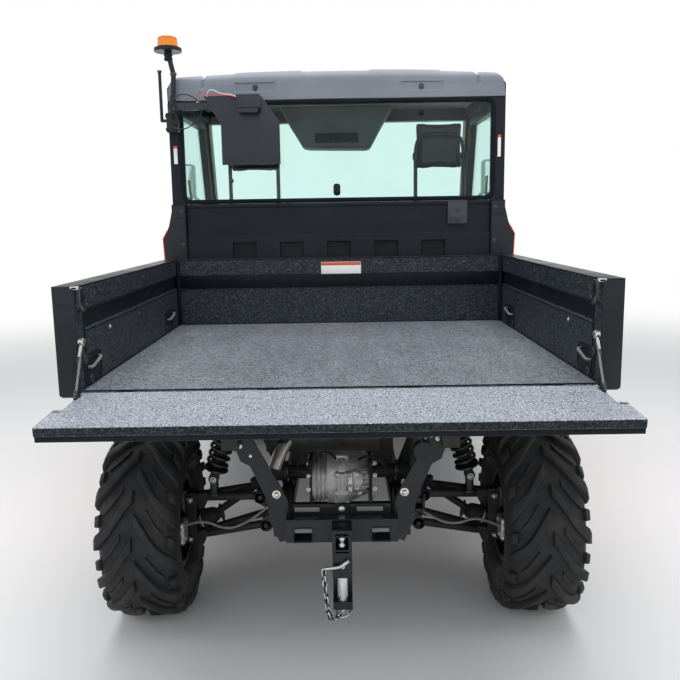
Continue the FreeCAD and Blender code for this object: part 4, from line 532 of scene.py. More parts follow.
def rounded(low, high, radius, steps=5):
    """Outline of a rectangle with rounded corners."""
    points = []
    corners = ((high[0] - radius, high[1] - radius, 0), (low[0] + radius, high[1] - radius, 90),
               (low[0] + radius, low[1] + radius, 180), (high[0] - radius, low[1] + radius, 270))
    for u, v, turn in corners:
        for step in range(steps + 1):
            angle = math.radians(turn + 90 * step / steps)
            points.append((u + radius * math.cos(angle), v + radius * math.sin(angle)))
    return points


def panel(low, high, radius, plane, start, depth, edge=0.0, steps=5):
    """A plate with rounded corners."""
    return plate(rounded(low, high, radius, steps), plane, start, depth, edge)


def looped(b, places):
    """A closed loop of edges through the places, and its points."""
    verts = [b.verts.new(place) for place in places]
    return verts, [b.edges.new(pair) for pair in zip(verts, verts[1:] + verts[:1])]


def frame_plate(outer, inner, plane, start, depth, edge=0.0):
    """A flat ring between two outlines with the same number of points."""
    b = bmesh.new()
    loops = []
    for outline in (outer, inner):
        loops += looped(b, [PLANES[plane](u, v, start) for u, v in outline])[1]
    faces = bmesh.ops.bridge_loops(b, edges=loops)["faces"]
    return pushed(b, faces, plane, depth, edge, 2, 60)


def rim(outer, inner, plane, start, depth, edge=0.0, steps=5):
    """A flat ring between two rounded rectangles, each given as low corner, high corner and radius."""
    return frame_plate(rounded(*outer, steps), rounded(*inner, steps), plane, start, depth, edge)


def smooth_line(name, points, radius, round_by, order, fine, closed=False):
    """A curve with a round section that follows the points softly."""
    data = bpy.data.curves.new(name, "CURVE")
    data.dimensions = "3D"
    data.bevel_depth = radius
    data.bevel_resolution = round_by
    data.use_fill_caps = True
    data.resolution_u = fine
    line = data.splines.new("NURBS")
    line.points.add(len(points) - 1)
    for point, place in zip(line.points, points):
        point.co = (*place, 1)
    line.order_u = order
    line.use_endpoint_u = not closed
    line.use_cyclic_u = closed
    return data


def tube(points, radius, round_by=3, order=3, fine=5, closed=False):
    """A round bar along a smooth line."""
    data = smooth_line("run", points, radius, round_by, order, fine, closed)
    obj = bpy.data.objects.new("run", data)
    mesh = bpy.data.meshes.new_from_object(obj)
    b = bmesh.new()
    b.from_mesh(mesh)
    bmesh.ops.remove_doubles(b, verts=b.verts, dist=0.001)
    bmesh.ops.recalc_face_normals(b, faces=b.faces)
    bpy.data.objects.remove(obj)
    bpy.data.curves.remove(data)
    bpy.data.meshes.remove(mesh)
    return b


def lofted(rings, edge=0.0, segments=2):
    """A closed bar through rings that have the same number of points."""
    b = bmesh.new()
    loops = [looped(b, ring) for ring in rings]
    for (_, first), (_, second) in zip(loops, loops[1:]):
        bmesh.ops.bridge_loops(b, edges=first + second)
    b.faces.new(loops[0][0])
    b.faces.new(loops[-1][0])
    bmesh.ops.recalc_face_normals(b, faces=b.faces)
    return eased(b, edge, segments)


def circle(count, radius, start=0.0):
    """Places spread evenly round a circle, as offsets from its middle."""
    turns = [math.tau * (i + start) / count for i in range(count)]
    return [(radius * math.cos(turn), radius * math.sin(turn)) for turn in turns]


def dome_bolt(at, axis, radius, height, sides=16):
    """Round head on a flat collar."""
    profile = ((0, height), (radius * 0.35, height * 0.96), (radius * 0.62, height * 0.78),
               (radius * 0.78, height * 0.4), (radius * 0.8, height * 0.28), (radius, height * 0.22),
               (radius, -0.5), (0, -0.5))
    return turned(profile, at, axis, sides)


def hex_bolt(at, axis, radius, height, sides=6):
    """Six-sided head with chamfered corners; a washer goes under it separately."""
    profile = ((0, height), (radius * 0.82, height), (radius, height * 0.86), (radius, -0.5), (0, -0.5))
    return turned(profile, at, axis, sides)


def washer(at, axis, radius, height, sides=20):
    profile = ((0, height), (radius * 0.94, height), (radius, height * 0.7), (radius, -0.5), (0, -0.5))
    return turned(profile, at, axis, sides)


def socket_bolt(at, axis, radius, height):
    """Round head with a sunk socket."""
    profile = ((0, height * 0.35), (radius * 0.42, height * 0.35), (radius * 0.46, height),
               (radius * 0.88, height), (radius, height * 0.8), (radius, -0.5), (0, -0.5))
    return turned(profile, at, axis, 14)


def bolt(at, axis, collar, head, lift=0.0, kind=dome_bolt):
    """A collar and a head, each given as radius and height; lift is how far the head stands off."""
    raised = Vector(at) + Vector(axis) * lift
    return washer(at, axis, *collar), kind(raised, axis, *head)


# Cords
def cord(name, points, radius, finish):
    data = smooth_line(name, points, radius, 4, 3, 10)
    data.materials.append(finishes[finish])
    obj = bpy.data.objects.new(name + "_cord", data)
    scene.collection.objects.link(obj)
    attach(obj, "chassis")
    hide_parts(name)


def make_cords():
    hose_plane = -0.975005
    right = ((546, 318.3), (471, 361), (385, 325), (290, 365), (209, 432.5))
    left = ((-546, 336.7), (-486, 363), (-399, 319), (-318, 352), (-264, 396), (-209, 432))
    for name, route, length in (("brake_hose_right", right, 0.377), ("brake_hose_left", left, 0.377)):
        points = [(x * MM, hose_plane, z * MM) for x, z in route]
        cord(name, points, 0.0045, "hose_rubber")
    upper = ((-722, -58.5, 1817.6), (-722, -82, 1824), (-722, -102, 1848), (-718, -110, 1880),
             (-698, -110, 1908), (-664, -108, 1919), (-630, -106, 1910), (-606, -105, 1893),
             (-597, -105, 1878.5))
    lower = ((-727, -58.5, 1796.2), (-727, -86, 1792), (-706, -106, 1776), (-672, -108, 1768),
             (-636, -106, 1782), (-608, -105, 1808), (-590, -105, 1832), (-583.5, -105, 1851.5))
    for name, route, length in (("lamp_wire_upper", upper, 0.236), ("lamp_wire_lower", lower, 0.219)):
        points = [(x * MM, (CAB_REAR + y) * MM, z * MM) for x, y, z in route]
        cord(name, points, 0.0025, "wire_black")


make_cords()


# Roof: one moulded shell with raised bands, grooves and two sunk panels in its rear face
ROOF_LOW = 1962.3
ROOF_EDGE = 712
ROOF_CURL = 36
ROOF_BANDS = ((-456, -154), (150, 468))
ROOF_GROOVES = (-597, 632)
SUNK_PANELS = ((-451, -276, 1940, 1977), (288, 472, 1935, 1972))
# Place from front to back, height, half width of the roof's middle line
ROOF_LINE = ((59.5, 1904, 753), (52.5, 1904.5, 753), (52, 1930, 751), (51.5, 1958, 749), (50.5, 1975, 747),
             (50.5, 1994, 746), (53, 2004, 745.5), (60, 2012, 745), (74, 2019, 745), (96, 2028, 746),
             (120, 2034, 747), (150, 2036, 747), (480, 2035.5, 747), (820, 2032, 747), (920, 2019, 740),
             (975, 2005, 733), (994, 1996, 731), (999, 1984, 730), (1000, 1964, 730))


def stations(low, high, step, edges, soft):
    """Places along a line: evenly spread, with a close pair at each edge that needs to be crisp."""
    fixed = sorted({low, high, *(e + d for e in edges for d in (-soft, soft))})
    places = []
    for a, b in zip(fixed, fixed[1:]):
        count = max(1, math.ceil((b - a) / step))
        places += [a + (b - a) * i / count for i in range(count)]
    return places + [high]


def along_line(line, t):
    """A point on a line of rows, t counted in rows."""
    i = min(int(t), len(line) - 2)
    share = t - i
    return [a + (b - a) * share for a, b in zip(line[i], line[i + 1])]


def step_up(value, low, high, soft):
    """One between low and high, zero outside, with soft flanks."""
    rise = min(1, max(0, (value - low) / soft + 0.5))
    fall = min(1, max(0, (high - value) / soft + 0.5))
    share = min(rise, fall)
    return share * share * (3 - 2 * share)


def make_roof():
    edges = [e for pair in ROOF_BANDS for e in pair] + [e for p in SUNK_PANELS for e in p[:2]]
    grooves = [g + d for g in ROOF_GROOVES for d in (-12, 0, 12)]
    across = sorted(stations(-ROOF_EDGE, ROOF_EDGE, 18, edges, 2.5) + grooves)
    roll = [i / 8 for i in range(1, 9)]
    columns = [(-ROOF_EDGE, -r) for r in reversed(roll)] + [(x, 0) for x in across]
    columns += [(ROOF_EDGE, r) for r in roll]
    rows = roof_rows()
    b = bmesh.new()
    bmesh.ops.create_grid(b, x_segments=len(columns) - 1, y_segments=len(rows) - 1, size=1)
    for vert in b.verts:
        x0, over = columns[round((vert.co.x + 1) / 2 * (len(columns) - 1))]
        t = rows[round((vert.co.y + 1) / 2 * (len(rows) - 1))]
        vert.co = roof_point(x0, over, *along_line(ROOF_LINE, t))
    bmesh.ops.recalc_face_normals(b, faces=b.faces)
    if sum(f.normal.z for f in b.faces) < 0:
        bmesh.ops.reverse_faces(b, faces=b.faces)
    shell = Shape("roof_plastic").put(b).make("roof_shell", "chassis", ("roof",), 50)
    wall = shell.modifiers.new("wall", "SOLIDIFY")
    wall.thickness = 3.5 * MM
    wall.offset = -1
    bolts = Shape("dark_bolt")
    for x, z in ((-362, 1956), (379, 1951)):
        bolts.put(*bolt((x, 55.5, z), BACK, (13, 1.6), (8, 4.5), 1.5, socket_bolt))
    bolts.make("roof_bolts")


def roof_rows():
    """Rows along the roof's line: more in its long top, and a close pair at each sunk panel's edge."""
    heights = [z for p in SUNK_PANELS for e in p[2:] for z in (e - 1.5, e + 1.5)]
    rows = []
    for i in range(len(ROOF_LINE) - 1):
        low, high = ROOF_LINE[i][1], ROOF_LINE[i + 1][1]
        inside = [(z - low) / (high - low) for z in heights if low < z < high and i < 5]
        count = 10 if 10 < i < 14 else 2
        rows += [i + s for s in sorted(inside + [k / count for k in range(count)])]
    return rows + [len(ROOF_LINE) - 1.0001]


def roof_point(x0, over, y, z, half):
    """The shell's place for a column (x or how far it has rolled over the side) and a row."""
    share = min(1.0, max(0.0, (z - ROOF_LOW) / (2036 - ROOF_LOW)))
    x = x0 * (half - ROOF_CURL) / ROOF_EDGE
    fall = 18 * (x / 711) ** 2
    if over:
        angle = min(1.0, abs(over) / 0.8) * math.pi / 2
        x = math.copysign(half - ROOF_CURL + ROOF_CURL * math.sin(angle), over)
        fall = 18 + 46 * (1 - math.cos(angle))
        if abs(over) > 0.8:
            fall += 12 * (abs(over) - 0.8) / 0.2
    top = z - ROOF_LOW
    z = z - fall * min(1.0, top / 74) if top > 0 else z
    band = max(step_up(x, low, high, 9) for low, high in ROOF_BANDS) * step_up(y, 62, 930, 40)
    z += 5 * band * share
    for groove in ROOF_GROOVES:
        depth = max(0.0, 1 - abs(x - groove) / 13)
        if z > 1950:
            z -= 15 * depth * min(1.0, max(0.0, (z - 1984) / 20)) * step_up(y, -100, 900, 60)
            y += 9 * depth * step_up(z, 1952, 2030, 8) * (1 if y < 56 else 0)
    for left, right, low, high in SUNK_PANELS:
        if y < 56 and low < z < high and left < x < right:
            y += 4.0
    return (x, y, z)


make_roof()


# Rear window: rounded rubber seal, corner fillets behind it, latch, knobs
def make_rear_window():
    seal = Shape("seal_rubber")
    seal.put(rim(((-714, 1448.3), (714, 1902), 42), ((-694, 1468), (694, 1882), 26), "y", 53.5, 7.5, 2.6, 8))
    seal.put(rim(((-706, 1456), (706, 1894), 34), ((-700.5, 1461.5), (700.5, 1888.5), 30), "y", 51.2, 3.4,
                 1.4, 8))
    seal.put(rim(((-702.7, 1460), (702.7, 1890), 30), ((-693, 1469), (693, 1881), 25), "y", 60.5, 15, 0, 8))
    seal.make("rear_window_rubber", "chassis", ("rear_window_seal",))
    trim = Shape("cab_plastic")
    for z, up in ((1448.5, 1), (1901.5, -1)):
        corner = [(713.5, z)]
        for step in range(9):
            turn = math.radians(90 * step / 8)
            corner.append((672 + 42 * math.sin(turn), z + up * (42 - 42 * math.cos(turn))))
        trim.both(plate(corner, "y", 57, 4.5))
    trim.make("rear_window_corners")
    latch = Shape("cab_plastic")
    latch.put(panel((-21, 1478), (11, 1532), 13, "y", 55, 9, 3, 6))
    latch.put(block((-12, 44, 1486), (2, 56, 1520), 4))
    latch.put(turned(((0, 12), (9, 11), (13, 7), (14, 0), (0, 0)), (-5, 56, 1503), BACK, 20))
    knob = ((0, 15), (5, 14), (8, 9), (8.5, 3), (14, 2), (15, 0), (0, 0))
    latch.both(turned(knob, (381.5, 61, 1839.5), BACK, 20))
    pull = ((0, 22), (7, 20), (10, 14), (9, 8), (5, 5), (5, 0), (0, 0))
    latch.use("dark_bolt").put(turned(pull, (-482, 64, 1551), BACK, 18))
    latch.make("rear_window_latch")


make_rear_window()


# Inside the cab: overhead console
def make_console():
    """Overhead console hung from the roof above the windscreen's top."""
    console = Shape("console_grey")
    outline = [(-303, 1957), (-247, 1850), (-232, 1828), (-186, 1750), (-150, 1744), (150, 1738), (176, 1744),
               (226, 1835), (239, 1858), (300, 1957)]
    console.put(plate(outline, "y", 640, 190, 14, 3))
    console.use("cab_plastic").put(panel((-120, 1768), (110, 1818), 10, "y", 636, 5, 2))
    for x in (-86, -30, 26, 82):
        console.put(turned(((0, 9), (9, 8), (11, 5), (11, 0), (0, 0)), (x, 637, 1793), BACK, 20))
    console.make("overhead_console")


make_console()


# Rear corners of the cab: covers with seams and bolts, bracket plate, blank labels
def make_rear_corners():
    bracket = Shape("bracket_grey")
    bracket.put(panel((499, 1343), (588, 1450), 6, "y", 46, 6, 1.5))
    bracket.put(block((505, 44.5, 1444), (582, 62, 1450), 2))
    bracket.put(panel((512, 1366), (575, 1392), 5, "y", 45, 3, 1))
    bracket.use("dark_bolt")
    for x, z in ((543.5, 1409), (544, 1362)):
        bracket.put(*bolt((x, 45.5, z), BACK, (9, 1.5), (6.5, 4), 1, socket_bolt))
    bracket.make("rear_bracket_plate")

    covers = Shape("post_plastic")
    outline = [(697, 1442), (752, 1442), (779, 1328), (797, 1293), (791, 1150), (791, 1000), (697, 1000)]
    covers.both(plate(outline, "y", 31.5, 4, 2.2), block((700, 29.5, 1386), (748, 33, 1391), 1))
    covers.use("dark_bolt")
    for x, z in ((712, 1415), (709, 1266), (709, 1070)):
        covers.both(*bolt((x, 31.5, z), BACK, (9, 1.5), (6.5, 4), 1))
    covers.make("corner_cover_faces")

    outline = [(778, 1330), (786, 1333), (806, 1296), (803, 1208), (797, 1150), (791, 1150), (793, 1208),
               (797, 1292)]
    Shape("orange").both(plate(outline, "y", 34, 24, 2)).make("body_edges")

    labels = Shape("label_white")
    labels.put(panel((-740, 1630), (-724, 1698), 1.5, "y", 57.6, 1.0))
    labels.put(panel((724, 1640), (738, 1724), 1.5, "y", 57.6, 1.0))
    labels.use("label_red")
    labels.put(panel((-740, 1698), (-724, 1709), 1.2, "y", 57.5, 1.1))
    labels.put(panel((724, 1724), (738, 1736), 1.2, "y", 57.5, 1.1))
    labels.make("pillar_labels")


make_rear_corners()


# Number plate board: folded edges, lamp with its light strip, wires, and the beacon with its mount
def make_board():
    board = Shape("board_black")
    outline = [(-575, 1905), (-327, 1905), (-249, 1796), (-249, 1614), (-504, 1614), (-504, 1787)]
    board.put(plate(outline, "y", -61.5, 3, 1.3))
    board.put(block((-573, -61, 1899), (-329, -49, 1905), 1.5))
    board.put(block((-502, -62.3, 1616), (-251, -60.8, 1622), 0.6))
    board.make("plate_board_face")

    lamp = Shape("board_black")
    side = [(-60, 1905), (-92, 1903), (-101, 1893), (-103, 1850), (-88, 1836), (-60, 1834)]
    lamp.put(plate(side, "x", -424, 98, 3))
    lamp.use("lamp_clear").put(block((-412, -86, 1831.5), (-338, -66, 1835.5), 1.2))
    lamp.use("bracket_grey").put(block((-414, -95, 1902), (-336, -66, 1906.5), 1.5))
    lamp.use("zinc")
    for x in (-410, -340):
        lamp.put(dome_bolt((x, -80, 1905), UP, 4, 2.5))
    lamp.make("plate_lamp", sharp=50)

    wires = Shape("wire_white")
    white = ((-560, -62, 1903), (-556, -66, 1922), (-540, -66, 1932), (-522, -64, 1926), (-500, -64, 1914),
             (-470, -64, 1911), (-446, -66, 1908), (-428, -70, 1897))
    red = ((-592, -50, 1880), (-598, -56, 1908), (-590, -60, 1924), (-575, -64, 1921), (-560, -66, 1911),
           (-520, -66, 1909), (-450, -68, 1906), (-428, -72, 1894))
    wires.put(tube(white, 2.2, 2)).use("wire_red").put(tube(red, 1.8, 2)).use("wire_white")
    for start, end in (((-664, -48, 1856), (-640, -48, 1858)), ((-610, -48, 1872), (-602, -48, 1884))):
        wires.put(rod(start, end, 3.6, edge=0.8))
    wires.make("lamp_wiring")


make_board()


def make_beacon():
    x, y = -735, 19.995
    lens = Shape("amber")
    rows = [(0, 0), (45, 0)]
    for step in range(9):
        height = 1 + step * 4.2
        swell = 45.5 - 0.09 * height
        rows += [(swell, height), (swell - 0.9, height + 2.1)]
    rows += [(42, 38), (40, 43), (36, 46), (0, 46.5)]
    lens.put(turned(rows, (x, y, 2122), sides=48))
    lens.make("beacon_dome", "chassis", ("beacon_lens",), 50)
    base = Shape("cab_plastic")
    collar = ((47.5, -1), (58, -1), (60, 2), (60, 11), (58, 14), (47.5, 17), (46.2, 20), (45.8, 17))
    stem = ((16, 0), (19, 2), (19, 9), (16.5, 12), (16.5, 18), (19, 20), (19, 27), (16, 30))
    base.put(turned(collar, (x, y, 2107), sides=48, ring=True),
             turned(stem, (x, y, 2070), sides=28, ring=True))
    base.use("dark_bolt")
    base.put(turned(((11, 0), (14.5, 1.5), (14.5, 12), (11, 14)), (-716.5, 20, 2006), sides=6, ring=True))
    base.put(turned(((7, 0), (10, 1), (10, 9), (7, 10)), (-777, y, 2020), sides=6, ring=True))
    for y0 in (10, 44):
        for z in (1778, 1832):
            base.put(*bolt((-753, y0, z), LEFT, (9, 1.6), (6.5, 5), 1, hex_bolt))
    for x0, z in ((-716, 1862), (-735, 1852)):
        base.put(*bolt((x0, 0.5, z), BACK, (9, 1.6), (6.5, 5), 1.3, hex_bolt))
    for x0 in (-660, -560):
        base.put(*bolt((x0, -54.5, 1865), BACK, (8, 1.6), (6, 4), 1))
    base.use("cab_plastic")
    base.put(block((-756, -4, 1768), (-700, 1, 1774), 1.5), block((-756, -4, 1836), (-700, 1, 1842), 1.5))
    base.use("wire_black")
    long_wire = ((-727, 22, 1848), (-742, 6, 1900), (-722, 34, 1950), (-702, 10, 2000), (-724, 34, 2050),
                 (-736, 20, 2080))
    loop = ((-727, -2, 1800), (-712, -24, 1790), (-698, -30, 1812), (-706, -26, 1842), (-722, -10, 1850),
            (-734, 8, 1846))
    base.put(tube(long_wire, 2.2, 2), tube(loop, 2.4, 2))
    base.make("beacon_fittings")


make_beacon()


# Bed: fasteners, tie-down rods over dark panels of painted shade for their hollows, catches with slots of
# painted shade, cable ends, seams
def make_bed_walls():
    bands = Shape("liner_band")
    bands.both(block((735.5, -1299, 1072.5), (738.5, -46, 1130.5), 0.8))
    bands.put(block((-727, -50.5, 1073), (727, -47.5, 1130), 0.8))
    for z in (1131, 1068):
        bands.both(block((727.6, -1299, z), (729, -46, z + 3), 0.4))
    bands.make("bed_wall_bands", "bed")

    seams = Shape("liner_band")
    seams.both(block((716, -70, 909), (728.8, -45, 1196), 3),
               tube(((727, -1340, 910), (727, -700, 910), (727, -50, 910)), 2.4, 2),
               block((726.4, -1303, 909), (729, -1297, 1198), 1))
    seams.put(tube(((-722, -48, 910), (0, -48, 910), (722, -48, 910)), 2.6, 2))
    seams.put(block((-728, -1362, 900), (728, -1357, 909.5), 1.5))
    seams.make("bed_seams", "bed")

    posts = Shape("post_plastic")
    posts.both(block((731, -1363, 892), (791, -1359, 1199), 1.8),
               block((739, -1364.2, 1150), (783, -1362, 1153), 0.5))
    posts.make("bed_post_faces", "bed")
    rims = Shape("post_plastic")
    rims.both(block((727.5, -1361, 1198), (793, -2, 1203), 2))
    rims.put(block((-728, -46.5, 1198), (728, 0.5, 1203), 2))
    rims.make("bed_top_rims", "bed")


def make_bed_bolts():
    inner = 729
    bolts = Shape("bright_bolt")
    bolts.both(*bolt((inner, -1062.5, 1049), LEFT, (9, 1.5), (7, 4.5)))
    bolts.use("dark_bolt")
    for y, z in ((-632, 1172), (-730, 1047), (-562, 964), (-190, 1172), (-1150, 1172), (-380, 1047),
                 (-900, 940)):
        bolts.both(*bolt((inner, y, z), LEFT, (10, 1.5), (7.5, 5)))
    for x in (190, 560):
        for z in (1172, 940):
            bolts.both(*bolt((x, -45.5, z), BACK, (10, 1.5), (7.5, 5), 0.5))
    bolts.make("bed_bolts", "bed")


def make_tie_downs():
    ties = Shape("liner_band")
    for y0, y1 in ((-1197, -1290), (-186, -282)):
        # Painted shade: each hollow is a flat dark panel inside a raised dark rim, not a sunk pocket.
        shaded_hollow = ((y1 - 24, 925), (y0 + 20, 990), 14)
        ties.both(rim(((y1 - 34, 915), (y0 + 30, 1000), 22), shaded_hollow, "x", 726.5, 2.7, 1, 6),
                  panel(*shaded_hollow, "x", 728, 0.8, 0, 6))
    ties.use("sleeve_grey")
    for y0, z0, y1, z1 in ((-1197, 981, -1290, 962), (-186, 981, -282, 964)):
        ties.both(tube(((729, y0, z0), (719, y0 - 2, z0), (716, y0 - 12, z0 - 2),
                        (716, (y0 + y1) / 2, (z0 + z1) / 2), (716, y1 + 12, z1 + 2),
                        (719, y1 + 2, z1), (729, y1, z1)), 4.6, 3))
    ties.use("dark_bolt")
    eye = ((5, 0), (14, 0), (16, 2), (14, 4), (8, 4), (5, 2))
    for y, z in ((-1268, 924), (-1312, 990), (-300, 930), (-170, 930)):
        ties.both(turned(eye, (728.6, y, z), LEFT, 18, True))
    ties.make("tie_downs", "bed")


def make_catches():
    """The latch in each rear post: plate, hook with its slot (a dark strip of painted shade), and the cable's
    anchor.
    """
    catch = Shape("dark_bolt")
    outline = [(-1352, 1197), (-1322, 1197), (-1318, 1150), (-1330, 1139), (-1352, 1145)]
    catch.both(plate(outline, "x", 716, 13, 2.5))
    catch.use("zinc").both(block((716, -1363, 1193), (741, -1350, 1203), 3)).use("dark_bolt")
    catch.both(tube(((720, -1345, 1150), (712, -1352, 1140), (712, -1340, 1128), (716, -1324, 1134)), 4, 3),
               dome_bolt((716, -1312, 1146), LEFT, 7, 5))
    # Painted shade: a dark strip at the post's top where the latch is recessed, and one for the hook's slot.
    catch.use("liner_band").both(block((722, -1363.8, 1195), (735, -1362, 1200), 0.6),
                                 block((714.5, -1344, 1158), (717, -1330, 1186), 1.2))
    catch.use("bright_bolt")
    for y in (-1353, -1334):
        catch.both(*bolt((728, y, 1047), LEFT, (8.5, 2), (6.5, 9), 2, hex_bolt))
    catch.make("tailgate_catches", "bed")


def gate_point(along, above):
    cos, sin = math.cos(GATE_DROOP), math.sin(GATE_DROOP)
    return (GATE_PIN.y - along * cos - above * sin, GATE_PIN.z - along * sin + above * cos)


def make_cables():
    """Each cable ends in pressed sleeves: a grey outer sleeve over most of its run."""
    cables = Shape("sleeve_grey")
    start = Vector((723, -1352, 1042))
    end = Vector((726, *gate_point(50, -2)))
    cables.both(tube((start, start.lerp(end, 0.3) + Vector((-3, -3, 0)),
                      start.lerp(end, 0.7) + Vector((-2, -2, 0)), end), 3.6, 3))
    # Finish, from and to along the cable, radius
    for finish, low, high, radius in (("zinc", 0.03, 0.24, 5.4), ("dark_bolt", 0.24, 0.34, 6),
                                      ("dark_bolt", 0.82, 0.97, 5.4)):
        cables.use(finish).both(rod(start.lerp(end, low), start.lerp(end, high), radius, sides=14, edge=1.2))
    ring = turned(((4, 0), (11, 0), (12, 2), (11, 4), (4, 4)), (719, -1350, 1045), LEFT, 20, True)
    cables.use("bright_bolt").both(ring)
    cables.make("cable_sleeves", "bed", ("tailgate_cables",))


make_bed_walls()
make_bed_bolts()
make_tie_downs()
make_catches()
make_cables()


# Tailgate: dark rear face over the top lightened with painted sheen, end slots as dark strips of painted
# shade, hinges, striker bolts
def gate_block(x0, x1, along0, along1, above0, above1, edge):
    b = block((x0, -along1, above0), (x1, -along0, above1), edge)
    b.transform(Matrix.Translation(GATE_PIN) @ Matrix.Rotation(GATE_DROOP, 4, "X"))
    return b


def make_gate_details():
    trim = Shape("liner_band")
    trim.put(gate_block(-743, 743, 289, 291.6, -28.5, -11, 0.8))
    trim.use("gate_edge").put(gate_block(-743.5, 743.5, 293.4, 296.4, -11.5, 8.8, 1.2)).use("liner_band")
    trim.put(gate_block(-716, 716, 2, 7, 9.2, 10.8, 0.6))
    # Painted shade: the dark strips on the gate's top stand for its end slots.
    trim.both(gate_block(722, 743, 168, 176, 8.6, 10.6, 0.8), gate_block(712, 720, 26, 74, 9, 10.8, 0.8))
    trim.make("tailgate_trim", "tailgate")

    fitting = Shape("dark_bolt")
    y, z = gate_point(262, -8)
    fitting.both(dome_bolt((744, y - 2, z), RIGHT, 5.5, 8))
    fitting.both(turned(((5, 0), (9, 0), (10, 1), (8, 2.5), (5, 2.5)), (718, *gate_point(50, 10)), UP, 18,
                        True))
    fitting.use("bright_bolt").put(dome_bolt((225, *gate_point(270, -29)), (0, 0, -1), 9, 8))
    fitting.use("zinc")
    low = GATE_PIN.z - 6
    for x in (-600, -200, 200, 600):
        fitting.put(rod((x - 34, GATE_PIN.y, low), (x + 34, GATE_PIN.y, low), 5.5, sides=12, edge=1))
    fitting.make("tailgate_fittings", "tailgate")


make_gate_details()


def make_bed_label():
    """Blank label on the bed's front wall."""
    label = Shape("label_white").put(panel((-81, 1124), (98, 1183), 3, "y", -47.6, 1.6, 0.4))
    label.use("label_red").put(panel((-80, 1168), (97, 1182), 2, "y", -48.2, 1.0, 0.3))
    label.make("bed_label", "bed")


make_bed_label()


# Tyres: turned carcass with curved cross bars, shoulder blocks and rings on the side walls
LUGS = 13


def tyre_profile(half, width):
    side = [(half - 7.3, 157), (half - 7.3, 171), (half + 2, 176), (width - 10, 190), (width - 4, 203),
            (width - 2.5, 205), (width - 2.5, 209), (width - 4, 211), (width - 3.5, 226), (width - 1.5, 228),
            (width - 1.5, 232), (width - 4.5, 234), (width - 7, 246), (width - 11, 262), (width - 18, 283),
            (width - 30, 298), (0.55 * width, 305), (0.25 * width, 307.5), (0, 308)]
    return [(r, x) for x, r in side] + [(r, -x) for x, r in reversed(side[:-1])]


def bar_ring(foot_x, foot, top_x, top, angle, half):
    """One section of a tread bar: its foot and top, each as place across and radius, at an angle."""
    ring = []
    for x, r, turn in ((foot_x, foot, -half * 1.25), (foot_x, foot, half * 1.25),
                       (top_x, top, half), (top_x, top, -half)):
        a = math.radians(angle + turn)
        ring.append((x, -r * math.sin(a), r * math.cos(a)))
    return ring


def wheel_centre(axle, side):
    return Matrix.Translation((0, axle, WHEEL_Z)) @ Matrix.Diagonal((side, 1, 1, 1)) @ moved(WHEEL_X, 0, 0)


def tread_parts(w):
    """Long bar, shoulder block and short middle bar for a tyre that is w wide from its middle."""
    long_bar = ((0.02 * w, 305, 0.03 * w, 325, -1.0, 3.7), (0.20 * w, 305, 0.20 * w, 325, 4.5, 3.3),
                (0.38 * w, 304, 0.38 * w, 324.5, 11.5, 3.3), (0.55 * w, 302, 0.56 * w, 323.5, 18.0, 3.5),
                (w - 40, 300, w - 34, 320, 22.0, 3.7), (w - 26, 294, w - 13, 311, 25.0, 3.8),
                (w - 17, 279, w - 2, 293, 28.0, 3.5), (w - 11, 257, w - 1.5, 264, 31.0, 2.6))
    shoulder = ((w - 30, 297, w - 22, 309, 12.5, 3.0), (w - 20, 286, w - 7, 298, 13.5, 3.2),
                (w - 12, 262, w - 2.5, 268, 15.0, 2.2))
    middle = ((0.30 * w, 305, 0.30 * w, 316, -5.5, 1.7), (0.55 * w, 303, 0.55 * w, 314, 4.0, 1.5),
              (w - 38, 299, w - 36, 309, 8.5, 1.3))
    return [lofted([bar_ring(*row) for row in rows], edge)
            for rows, edge in ((long_bar, 2.6), (shoulder, 2.0), (middle, 1.6))]


def make_tyre(name, body, node, half, width, axle, side):
    tyre = Shape("tyre")
    carcass = turned(tyre_profile(half, width), sides=96)
    carcass.transform(SIDEWAYS)
    centre = wheel_centre(axle, side)
    tyre.stamp(carcass, centre)
    places = []
    for i in range(LUGS):
        for flank, shift in ((1, 0), (-1, 0.5)):
            turn = Matrix.Rotation(math.tau * (i + shift) / LUGS, 4, "X")
            places.append(centre @ turn @ Matrix.Diagonal((flank, 1, 1, 1)))
    for part in tread_parts(width):
        tyre.stamp(part, *places)
    tyre.make(name, body, (node,), 40)


def make_wheel_details(name, body, half, axle, side):
    """Wheel nuts, rim ring, centre cap and valve on the outer face."""
    centre = wheel_centre(axle, side)
    shape = Shape("zinc")
    turns = [Matrix.Rotation(math.tau * (i + 0.5) / 4, 4, "X") for i in range(4)]
    shape.stamp(hex_bolt((0, 0, 0), RIGHT, 10.5, 15), *(centre @ turn @ moved(36, 0, 66) for turn in turns))
    ring = turned(((150, 0), (160, 1), (163, 4), (160, 6), (150, 5)), sides=64, ring=True)
    ring.transform(SIDEWAYS)
    shape.use("rim_black").stamp(ring, centre @ moved(half - 7, 0, 0))
    cap = turned(((0, 12), (16, 11), (24, 7), (26, 0), (0, 0)), sides=28)
    cap.transform(SIDEWAYS)
    shape.use("cab_plastic").stamp(cap, centre @ moved(46, 0, 0))
    shape.use("rubber").stamp(rod((30, 0, 136), (52, 0, 130), 4, 3.2, 12, 0.8), centre)
    shape.make(name, body)


# End of the vehicle, half width of the rim, half width of the tyre, axle
WHEELS = (("rear", 101, 132.5, REAR_AXLE), ("front", 80, 112.5, FRONT_AXLE))
for hand, sign in (("left", -1), ("right", 1)):
    for end, rim_half, tyre_half, axle_y in WHEELS:
        make_tyre(end + "_tread_" + hand, "wheel_" + end + "_" + hand, end + "_tyre_" + hand,
                  rim_half, tyre_half, axle_y, sign)
    for end, rim_half, tyre_half, axle_y in WHEELS:
        make_wheel_details(end + "_wheel_fittings_" + hand, "wheel_" + end + "_" + hand,
                           rim_half, axle_y, sign)


# Shock absorbers: real coils round a black boot, adjusting ring, eyes and pins
SHOCK_LENGTH = 244.8


